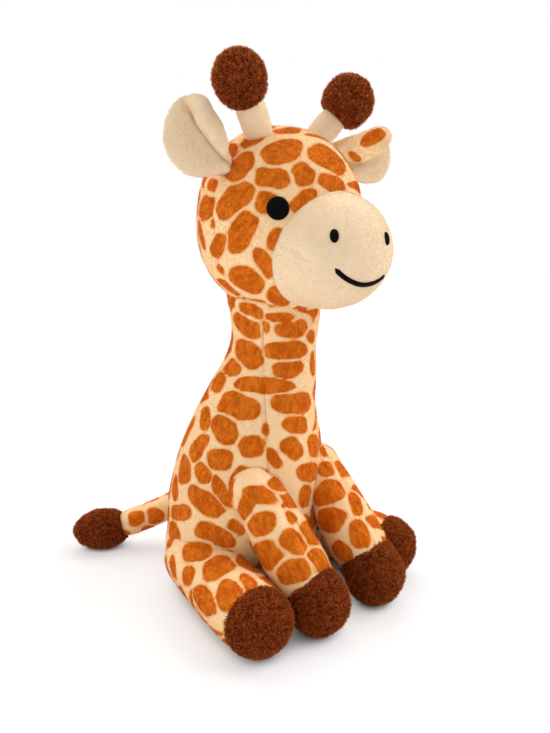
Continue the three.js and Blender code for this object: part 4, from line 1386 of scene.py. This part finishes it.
def head_skin(pitch=TRUNK_GRID):
    size = sizes()
    half = size.head_height / 2
    return bun(HEAD_MIDDLE - (0, 0, half), HEAD_MIDDLE + (0, 0, half), size.head_width, size.head_depth,
               pitch, half, half, HEAD_POWER)


def head_cloth(pitch=TRUNK_GRID):
    """The stuffed cloth of the head before its seams are drawn in."""
    skin = head_skin(pitch)
    skin.push(-HEAD_BACKING)
    for place, reach, height in HEAD_BULGES:
        bulge(skin, place, reach, height)
    settle(skin, "head")
    return skin


def make_head():
    skin = head_cloth()
    spot(skin, HEAD_PATCHES, 41)
    lumps(skin, "head", 7)
    sew(skin, CROWN_SEAM, SEAM_SHAPES["crown"], 12)
    for mirror in (1, -1):
        sew(skin, SIDE_SEAM * (mirror, 1, 1), SEAM_SHAPES["crown"], 13 + mirror)
    jaw = places_seen(skin, JAW_SEAM)
    for mirror in (1, -1):
        sew(skin, jaw * (mirror, 1, 1), SEAM_SHAPES["jaw"], 15)
    skin.comb((0, 0.75, -0.65))
    away = [np.linalg.norm(skin.points - on_side(EYE_PLACE, side), axis=1) for side in SIDES]
    trim = smooth_step(np.minimum(*away), *EYE_TRIM)
    skin.dress("spotted", "head", "head", 0.9, ("head_stuffing",), trim=trim)


def muzzle_skin(pitch=MUZZLE_GRID):
    size = sizes()
    reach = size.muzzle_reach
    back = np.array((0, HEAD_MIDDLE[1], MUZZLE_MIDDLE[2]))
    return bun(back, MUZZLE_MIDDLE - (0, reach, 0), size.muzzle_width, size.muzzle_height,
               pitch, reach / 2, reach, MUZZLE_POWER)


def muzzle_cloth(pitch=MUZZLE_GRID):
    """The stuffed cloth of the muzzle before its folds are drawn in."""
    skin = muzzle_skin(pitch)
    skin.push(-MUZZLE_BACKING)
    settle(skin, "muzzle")
    return skin


def make_muzzle():
    skin = muzzle_cloth()
    lumps(skin, "muzzle", 17)
    for marks, shape in MUZZLE_FOLDS:
        sew(skin, places_seen(skin, marks), shape)
    skin.values["seam"][:] = NO_SEAM
    skin.comb((0, -0.2, -1))
    skin.dress("cream", "head", "muzzle", 0.9, ("muzzle_stuffing",), sizes().cream_length)


def dress_brown(skin, kind, body, node, fill, seed, lie, hem=None, trim=None):
    """Finishes a hoof, a knob or the tuft. Its pile starts at its hem, given as a place and the way on."""
    lumps(skin, kind, seed)
    curls(skin, seed + 2)
    skin.comb(lie)
    rest_flat(skin)
    if trim is None:
        trim = smooth_step((skin.points - hem[0]) @ hem[1], *HEM_PILE)
    skin.dress("brown", body, node, fill, length=sizes().brown_length, trim=trim)


def limb_skins(body, side, root, end, widths, tall_share, seam_share, shares):
    """The cloth of a leg and of its hoof, the middle of the hem between them, and the way of the leg."""
    root_width, width, end_width = widths
    start = on_side(root + (HIP_TUCK if body.startswith("leg") else 0), side)
    finish = on_side(end, side) + HOOF_SHIFTS[body]
    along = unit(finish - start)
    reach = np.linalg.norm(finish - start)
    first, last = start - along * root_width / 2, finish + along * end_width / 2
    length = np.linalg.norm(last - first)
    past = root_width / 2 / length

    def way(share):
        return np.clip((share - past) * length / reach, 0, 1)

    def near(share):
        full = root_width + (width - root_width) * read_shares(shares, way(share))[:, 0]
        return full / 2, full * tall_share / 2

    def far(share):
        full = smooth_step(way(share), seam_share, 1)
        half = near(share)[1] * (1 - full) + end_width / 2 * full
        return half, half
    path = [first, (first + last) / 2, last]
    leg = stuffed(path, near, TRUNK_GRID, root_width / 2, end_width / 2)
    hoof = stuffed(path, far, BROWN_GRID, root_width / 2, end_width / 2, HOOF_POWER)
    return leg, hoof, start + along * reach * seam_share, along


def arm_skins(side):
    size = sizes()
    widths = (size.shoulder_width, size.arm_width, size.front_hoof_width)
    return limb_skins(f"arm_{side}", side, SHOULDER, FRONT_HOOF, widths, 1.0, FRONT_HOOF_SEAM, ARM_SHARES)


def hind_leg_skins(side):
    size = sizes()
    widths = (size.hip_width, size.leg_width, size.hind_hoof_width)
    return limb_skins(f"leg_{side}", side, HIP, HIND_HOOF, widths, size.leg_height / size.leg_width,
                      HIND_HOOF_SEAM, LEG_SHARES)


def dress_limb(skins, side, body, leg_name, hoof_name, filling, patches, seed, seams=()):
    leg, hoof, hem, along = skins
    spot(leg, patches, seed, panel=beside(leg.points, ARM_SEAMS[side]) if seams else None)
    settle(leg, "leg")
    lumps(leg, "leg", seed + 3)
    for line in seams:
        sew(leg, line, SEAM_SHAPES["arm"], seed)
    draw_in(leg, (leg.points - hem) @ along, "leg")
    leg.comb(along)
    rest_flat(leg)
    leg.dress("spotted", body, leg_name, 0.8, (filling,))
    hoof = start_at_hem(hoof, hem, along, HEM_NARROW["hoof"])
    make_room(hoof)
    settle(hoof, "hoof", HOOF_SETTLE_GRID)
    dress_brown(hoof, "hoof", body, hoof_name, 0.8, seed + 5, along, (hem, along))


def make_arms():
    drawn = [(own, places_seen(arm_skins(own)[0], ARM_SEAMS[own])) for own in SIDES]
    for side in SIDES:
        seams = [line * (1 if side == own else -1, 1, 1) for own, line in drawn]
        dress_limb(arm_skins(side), side, f"arm_{side}", f"arm_{side}", f"front_hoof_{side}",
                   f"arm_stuffing_{side}", ARM_PATCHES[side], 61 + SIDES[side], seams)


def make_legs():
    for side in SIDES:
        skins = hind_leg_skins(side)
        fill_crease(skins[0], around_trunk(skins[0].points), along_leg(skins[0].points, side)[1])
        dress_limb(skins, side, f"leg_{side}", f"hind_leg_{side}", f"hind_hoof_{side}",
                   f"leg_stuffing_{side}", LEG_PATCHES[side], 81 + SIDES[side])


def make_horns():
    size = sizes()
    radius = size.stem_foot_width / 2
    for side in SIDES:
        body = f"horn_{side}"
        foot, knob = on_side(HORN_FOOT, side) + HORN_TUCK, on_side(KNOB_MIDDLE, side)
        along = unit(knob - foot)
        knob_width = size.knob_width * KNOB_FULLNESS[side]
        hem = knob - along * size.knob_neck * KNOB_FULLNESS[side]
        start = foot - along * radius
        length = np.linalg.norm(knob - start)
        reach = np.linalg.norm(knob - foot)

        def stem_half(share):
            way = np.clip((share * length - radius) / reach, 0, 1)
            half = (size.stem_foot_width + (size.stem_width - size.stem_foot_width) * way) / 2
            return half, half

        def knob_half(share):
            way = np.clip(share * (size.knob_neck + size.knob_width / 2) / size.knob_neck, 0, 1)
            swell = read_shares(KNOB_SHARES, way)[:, 0]
            half = (size.stem_width + (knob_width - size.stem_width) * swell) / 2
            return half, half
        stem = stuffed([start, (start + knob) / 2, knob], stem_half, SLIM_GRID, radius)
        lumps(stem, "horn", 91)
        forward = CAMERA_PLACE - hem
        forward = unit(forward - along * (forward @ along))
        tilt = KNOB_HEM_TILT[side]
        draw_in(stem, (stem.points - hem) @ (along + forward * tilt), "stem")
        stem.comb(along)
        stem.dress("cream", body, f"horn_stem_{side}", 0.8, length=size.cream_length)
        top = knob + along * knob_width / 2
        ball = stuffed([hem, (hem + top) / 2, top], knob_half, BROWN_GRID, 0.0, knob_width / 2)
        ahead = (ball.points - hem) @ along
        skew = tilt * (1 - smooth_step(ahead, 0, knob_width / 2)) * ((ball.points - hem) @ forward)
        ball.points = ball.points - along * skew[:, None]
        make_room(ball)
        trim = smooth_step(ahead, *HEM_PILE)
        dress_brown(ball, "horn", body, f"horn_knob_{side}", 0.8, 93 + SIDES[side], along, trim=trim)


def ear_skin(side, layer_depths, rows=64, columns=90):
    """One layer of an ear and the way it points: a cup, and above its fold a flap that comes forward."""
    ear = EARS[side]
    half_width = sizes().ear_width / 2
    lift = math.radians(ear["lift"])
    turn = -math.radians(ear["inward"]) * SIDES[side]
    outward = np.array((math.cos(turn) * SIDES[side], math.sin(turn) * SIDES[side], 0))
    along = outward * math.cos(lift) + np.array((0, 0, math.sin(lift)))
    facing = np.array((math.sin(turn), -math.cos(turn), 0))
    across = np.cross(facing, along)
    up_side = math.copysign(1, across[2])
    share = 1 - (1 - ear["start"]) * np.linspace(1, 0, rows + 1) ** EAR_CROWDING
    low, high = read_shares(EAR_SHARES[side], share).T[:, :, None]
    fade = 1 - (1 - ear["fold_end"]) * smooth_step(share, *EAR_TIP_SPAN)[:, None]
    t = np.linspace(0, 1, EAR_STEPS)
    place = -low + t[None] * (low + high)
    angle = np.radians(ear["fold"]) * fade * smooth_step(place, 0, ear["bend"])
    angle = angle - np.radians(ear["turn_back"]) * fade * smooth_step(place, *EAR_TURN_BACK_SPAN)
    angle = angle - np.radians(ear["cup"]) * np.clip(-place / low, 0, 1) ** EAR_CUP_POWER
    step = half_width * np.gradient(place, axis=1)
    sideways = np.cumsum(np.cos(angle) * step, axis=1)
    forward = np.cumsum(np.sin(angle) * step, axis=1)
    rest = np.abs(place).argmin(axis=1)
    order = np.arange(rows + 1)
    sideways -= sideways[order, rest][:, None] - ear["rise"] * half_width
    forward -= forward[order, rest][:, None]
    edge = np.abs(2 * t - 1)[None]
    tip = np.sqrt(np.maximum(1 - smooth_step(share, *EAR_THINNING_SPAN), EAR_TIP_THICKNESS))[:, None]
    rim, rim_power = EAR_RIM
    thin = np.sqrt(np.maximum(1 - rim * edge ** rim_power, 0)) * tip
    pinched, fold_middle, fold_width = EAR_PINCH
    pinch = 1 - pinched * np.exp(-((place / ear["bend"] - fold_middle) / fold_width) ** 2)
    middle = on_side(EAR_ROOT, side) + np.outer(share * sizes().ear_length * ear["longer"], along)

    def layer(depth, backwards):
        offset = depth * thin * (pinch if depth > 0 else 1 - EAR_BACK_RIM * edge ** 2)
        x = (sideways - np.sin(angle) * offset)[..., None]
        y = (forward + np.cos(angle) * offset)[..., None]
        rings = middle[:, None] + across * up_side * x + facing * y
        picked = np.linspace(0, len(t) - 1, columns + 1).round().astype(int)
        return rings[:, picked[::-1] if backwards else picked]
    near_depth, far_depth = layer_depths
    first = up_side > 0
    return Skin(np.concatenate([layer(far_depth, first), layer(near_depth, not first)], axis=1)), along


def make_ears():
    for side in SIDES:
        body = f"ear_{side}"
        back, along = ear_skin(side, EAR_BACK)
        spot(back, EAR_PATCHES[side], 111 + SIDES[side], PATCH_SPACING["ear"], view=EAR_PATCH_VIEW)
        back.comb(along)
        back.dress("spotted", body, f"ear_back_{side}", 0.4)
        lining, along = ear_skin(side, EAR_LINING)
        lining.comb(along)
        lining.dress("cream", body, f"ear_lining_{side}", 0.4, length=sizes().lining_length)


def make_tail():
    size = sizes()
    radius = size.tail_root_width / 2
    first = unit(TAIL_ROUTE[1] - TAIL_ROUTE[0])
    path = np.concatenate([[TAIL_ROUTE[0] - first * radius], TAIL_ROUTE])
    at, whole = even_path(path)
    length = whole - radius

    def way(share):
        return np.clip((share * whole - radius) / length, 0, 1)

    def tail_half(share):
        swell = read_shares(TAIL_SHARES, way(share))[:, 0]
        half = (size.tail_root_width + (size.tail_width - size.tail_root_width) * swell) / 2
        return half, half

    def tuft_half(share):
        half = size.tuft_width * read_shares(TUFT_SHARES, np.maximum(way(share), TUFT_SHARES[0][0]))[:, 0] / 2
        return half, half
    hem, along = (value[0] for value in at(np.array([radius + TUFT_SEAM * length])))
    tube = stuffed(path, tail_half, SLIM_GRID, radius, radius)
    spot(tube, TAIL_PATCHES, 131, PATCH_SPACING["tail"])
    lumps(tube, "tail", 133)
    draw_in(tube, (tube.points - hem) @ along, "tail")
    tube.comb(TAIL_ROUTE[4] - TAIL_ROUTE[1])
    rest_flat(tube)
    tube.dress("spotted", "tail", "tail", 0.7)
    tuft = start_at_hem(stuffed(path, tuft_half, BROWN_GRID, radius, radius), hem, along, HEM_NARROW["tuft"])
    make_room(tuft)
    dress_brown(tuft, "tuft", "tail", "tail_tuft", 0.7, 135, TAIL_ROUTE[6] - TAIL_ROUTE[4], (hem, along))


def stitch(skin, node, lie, stretch=1.0):
    """Makes a stitched shape on the head. A smaller stretch draws its threads out longer."""
    skin.comb(lie)
    skin.values["grain"][:, 2] *= stretch
    skin.build(f"{node}_stitches", "satin_stitches", "head", node, "thread")


def satin_shape(tree, middle, outward, width, height):
    """A round satin-stitched shape that lies on the cloth, with its threads upright."""
    thread = sizes().thread
    across = unit(np.cross((0, 0, 1.0), outward))
    upward = np.cross(outward, across)
    rings = []
    angles = ring_angles(140)
    for k, share in enumerate((1.02, 1.0, *np.linspace(1.0, 0.04, 26))):
        ragged = 1 + 0.025 * np.sin(angles * 37) * (share > 0.9)
        x = np.cos(angles) * width / 2 * share * ragged
        y = np.sin(angles) * height / 2 * share * ragged
        if k < 2:
            rise = np.full_like(x, -SATIN_ROOT)
        else:
            rise = (thread * (1 - share ** 4) ** 0.5 * 0.9 + 0.0002
                    + 0.00007 * np.sin(x / SATIN * 2 * math.pi))
        start = middle + outward * SATIN_DROP + x[:, None] * across + y[:, None] * upward
        hits = [tree.ray_cast(Vector(p), Vector(-outward))[0] for p in start]
        ring = [p - outward * SATIN_DROP if hit is None else np.array(hit) for hit, p in zip(hits, start)]
        rings.append(np.array(ring) + outward * rise[:, None])
    return Skin(np.array(rings))


def make_embroidery():
    size = sizes()
    head, muzzle = head_cloth(EYE_GRID).tree(), muzzle_cloth(MOUTH_GRID)
    look, muzzle_tree = looker(muzzle), muzzle.tree()
    for side in SIDES:
        eye = on_side(EYE_PLACE, side)
        shape = satin_shape(head, eye, unit(eye - HEAD_MIDDLE), size.eye_width, size.eye_width)
        stitch(shape, f"eye_{side}", (0, 0, 1), SATIN_STRETCH)
        place, normal, _, _ = look(*NOSTRIL_MARKS[side])
        shape = satin_shape(muzzle_tree, place, normal, size.nostril_width, size.nostril_height)
        stitch(shape, f"nostril_{side}", (0, 0, 1), SATIN_STRETCH)
    at, whole = even_path(places_seen(muzzle, MOUTH_MARKS))
    reach = np.linspace(0, whole, 360)
    rings = []
    for distance, on_line, forward in zip(reach, *at(reach)):
        place, normal, _, _ = muzzle_tree.find_nearest(Vector(on_line))
        place, normal = np.array(place), np.array(normal)
        taper = min(1, min(distance, whole - distance) / MOUTH_TAPER + 0.25)
        across = unit(np.cross(normal, forward))
        wide = size.mouth_line / 2 * taper * (1 + 0.10 * math.sin(distance / STITCH * 2 * math.pi))
        high = size.thread * 0.85 * taper
        rings.append([place + across * math.cos(a) * wide + normal * (math.sin(a) * high)
                      for a in ring_angles(14)])
    stitch(Skin(np.array(rings)), "mouth", (1, 0, 0))


def make_camera():
    lens = bpy.data.cameras.new("camera")
    lens.sensor_width = SENSOR
    lens.lens = FOCAL_PIXELS / PICTURE[1] * SENSOR
    lens.clip_start = 0.01
    camera = placed("camera", lens)
    turn = Matrix((CAMERA_RIGHT, CAMERA_UP, -CAMERA_VIEW)).transposed().to_4x4()
    camera.matrix_world = Matrix.Translation(Vector(CAMERA_PLACE)) @ turn
    bpy.context.scene.camera = camera


def make_floor():
    """A floor that looks white to the camera, and keeps the toy's shadow."""
    mesh = bpy.data.meshes.new("floor")
    corners = [(x * FLOOR_REACH, y * FLOOR_REACH, 0) for x, y in ((-1, -1), (1, -1), (1, 1), (-1, 1))]
    mesh.from_pydata(corners, [], [(0, 1, 2, 3)])
    floor = placed("floor", mesh)
    floor.location.z = -FLOOR_DROP
    material = bpy.data.materials.new("pale_floor")
    finish = Finish(material)
    seen = finish.seen_white()
    paper = finish.add("BsdfDiffuse", {"Color": finish.blend(seen, colours().floor, shade(FLOOR_SEEN))})
    # The lift fades where the floor is closed in: painted shade in the corners round the toy
    corner = finish.add("AmbientOcclusion", {"Distance": FLOOR_CORNER_SHADE})
    lift = finish.calculate("MULTIPLY", finish.between(corner.outputs["AO"], 0.0, 0.5), FLOOR_LIFT)
    lift = finish.calculate("MULTIPLY", lift, seen)
    glow = finish.add("Emission", {"Color": (1, 1, 1, 1), "Strength": lift})
    finish.show(finish.add("AddShader", {0: paper.outputs[0], 1: glow.outputs[0]}))
    mesh.materials.append(material)


def make_stage():
    scene = bpy.context.scene
    scene.view_settings.view_transform = "Standard"
    make_camera()
    scene.world = bpy.data.worlds.new("white_room")
    room = Finish(scene.world, "OutputWorld")
    fill = room.add("Background", {"Color": shade("FFF8F0"), "Strength": ROOM_LIGHT})
    white = room.add("Background", {"Color": (1, 1, 1, 1), "Strength": 1.0})
    room.show(room.add("MixShader", {0: room.seen_white(), 1: fill.outputs[0], 2: white.outputs[0]}))
    make_floor()
    for name, (direction, share, spread) in LAMPS.items():
        light = bpy.data.lights.new(name, "SUN")
        light.energy = share * math.pi
        light.angle = math.radians(spread)
        placed(name, light).rotation_euler = Vector(direction).to_track_quat("Z", "Y").to_euler()


class GIRAFFE_OT_stage(bpy.types.Operator):
    """Add the camera, the lamps, the white room and the floor"""

    bl_idname = "giraffe.stage"
    bl_label = "Stage"

    def execute(self, context):
        make_stage()
        return {"FINISHED"}


class GIRAFFE_OT_trunk(bpy.types.Operator):
    """Sew the spotted trunk: seat, belly, chest and neck"""

    bl_idname = "giraffe.trunk"
    bl_label = "Trunk"

    def execute(self, context):
        make_trunk()
        return {"FINISHED"}


class GIRAFFE_OT_head(bpy.types.Operator):
    """Sew the spotted head with its crown and cheek seams"""

    bl_idname = "giraffe.head"
    bl_label = "Head"

    def execute(self, context):
        make_head()
        return {"FINISHED"}


class GIRAFFE_OT_muzzle(bpy.types.Operator):
    """Sew the cream muzzle"""

    bl_idname = "giraffe.muzzle"
    bl_label = "Muzzle"

    def execute(self, context):
        make_muzzle()
        return {"FINISHED"}


class GIRAFFE_OT_arms(bpy.types.Operator):
    """Sew both front legs and their brown hooves"""

    bl_idname = "giraffe.arms"
    bl_label = "Front legs"

    def execute(self, context):
        make_arms()
        return {"FINISHED"}


class GIRAFFE_OT_legs(bpy.types.Operator):
    """Sew both hind legs and their brown hooves"""

    bl_idname = "giraffe.legs"
    bl_label = "Hind legs"

    def execute(self, context):
        make_legs()
        return {"FINISHED"}


class GIRAFFE_OT_horns(bpy.types.Operator):
    """Sew both horns: cream stems and brown knobs"""

    bl_idname = "giraffe.horns"
    bl_label = "Horns"

    def execute(self, context):
        make_horns()
        return {"FINISHED"}


class GIRAFFE_OT_ears(bpy.types.Operator):
    """Sew both ears: spotted backs and cream linings"""

    bl_idname = "giraffe.ears"
    bl_label = "Ears"

    def execute(self, context):
        make_ears()
        return {"FINISHED"}


class GIRAFFE_OT_tail(bpy.types.Operator):
    """Sew the tail and its brown tuft"""

    bl_idname = "giraffe.tail"
    bl_label = "Tail"

    def execute(self, context):
        make_tail()
        return {"FINISHED"}


class GIRAFFE_OT_embroidery(bpy.types.Operator):
    """Stitch the eyes, the nostrils and the mouth"""

    bl_idname = "giraffe.embroidery"
    bl_label = "Embroidery"

    def execute(self, context):
        make_embroidery()
        return {"FINISHED"}


OPERATORS = (
    GIRAFFE_OT_stage,
    GIRAFFE_OT_trunk,
    GIRAFFE_OT_head,
    GIRAFFE_OT_muzzle,
    GIRAFFE_OT_arms,
    GIRAFFE_OT_legs,
    GIRAFFE_OT_horns,
    GIRAFFE_OT_ears,
    GIRAFFE_OT_tail,
    GIRAFFE_OT_embroidery,
)


class GIRAFFE_PT_sidebar(bpy.types.Panel):
    """Buttons for the pieces of the plush giraffe"""

    bl_label = "Plush giraffe"
    bl_idname = "GIRAFFE_PT_sidebar"
    bl_space_type = "VIEW_3D"
    bl_region_type = "UI"
    bl_category = "Plush giraffe"

    def draw(self, context):
        for group in (context.scene.giraffe_sizes, context.scene.giraffe_colours):
            box = self.layout.box()
            for name in group.bl_rna.properties.keys():
                if name not in ("rna_type", "name"):
                    box.prop(group, name)
        for operator in OPERATORS:
            self.layout.operator(operator.bl_idname)


CLASSES = (GiraffeSizes, GiraffeColours, *OPERATORS, GIRAFFE_PT_sidebar)


def register():
    for each in CLASSES:
        bpy.utils.register_class(each)
    bpy.types.Scene.giraffe_sizes = bpy.props.PointerProperty(type=GiraffeSizes)
    bpy.types.Scene.giraffe_colours = bpy.props.PointerProperty(type=GiraffeColours)


def unregister():
    del bpy.types.Scene.giraffe_colours
    del bpy.types.Scene.giraffe_sizes
    for each in reversed(CLASSES):
        bpy.utils.unregister_class(each)


def main():
    register()
    for operator in OPERATORS:
        group, name = operator.bl_idname.split(".")
        getattr(getattr(bpy.ops, group), name)()


if __name__ == "__main__":
    main()
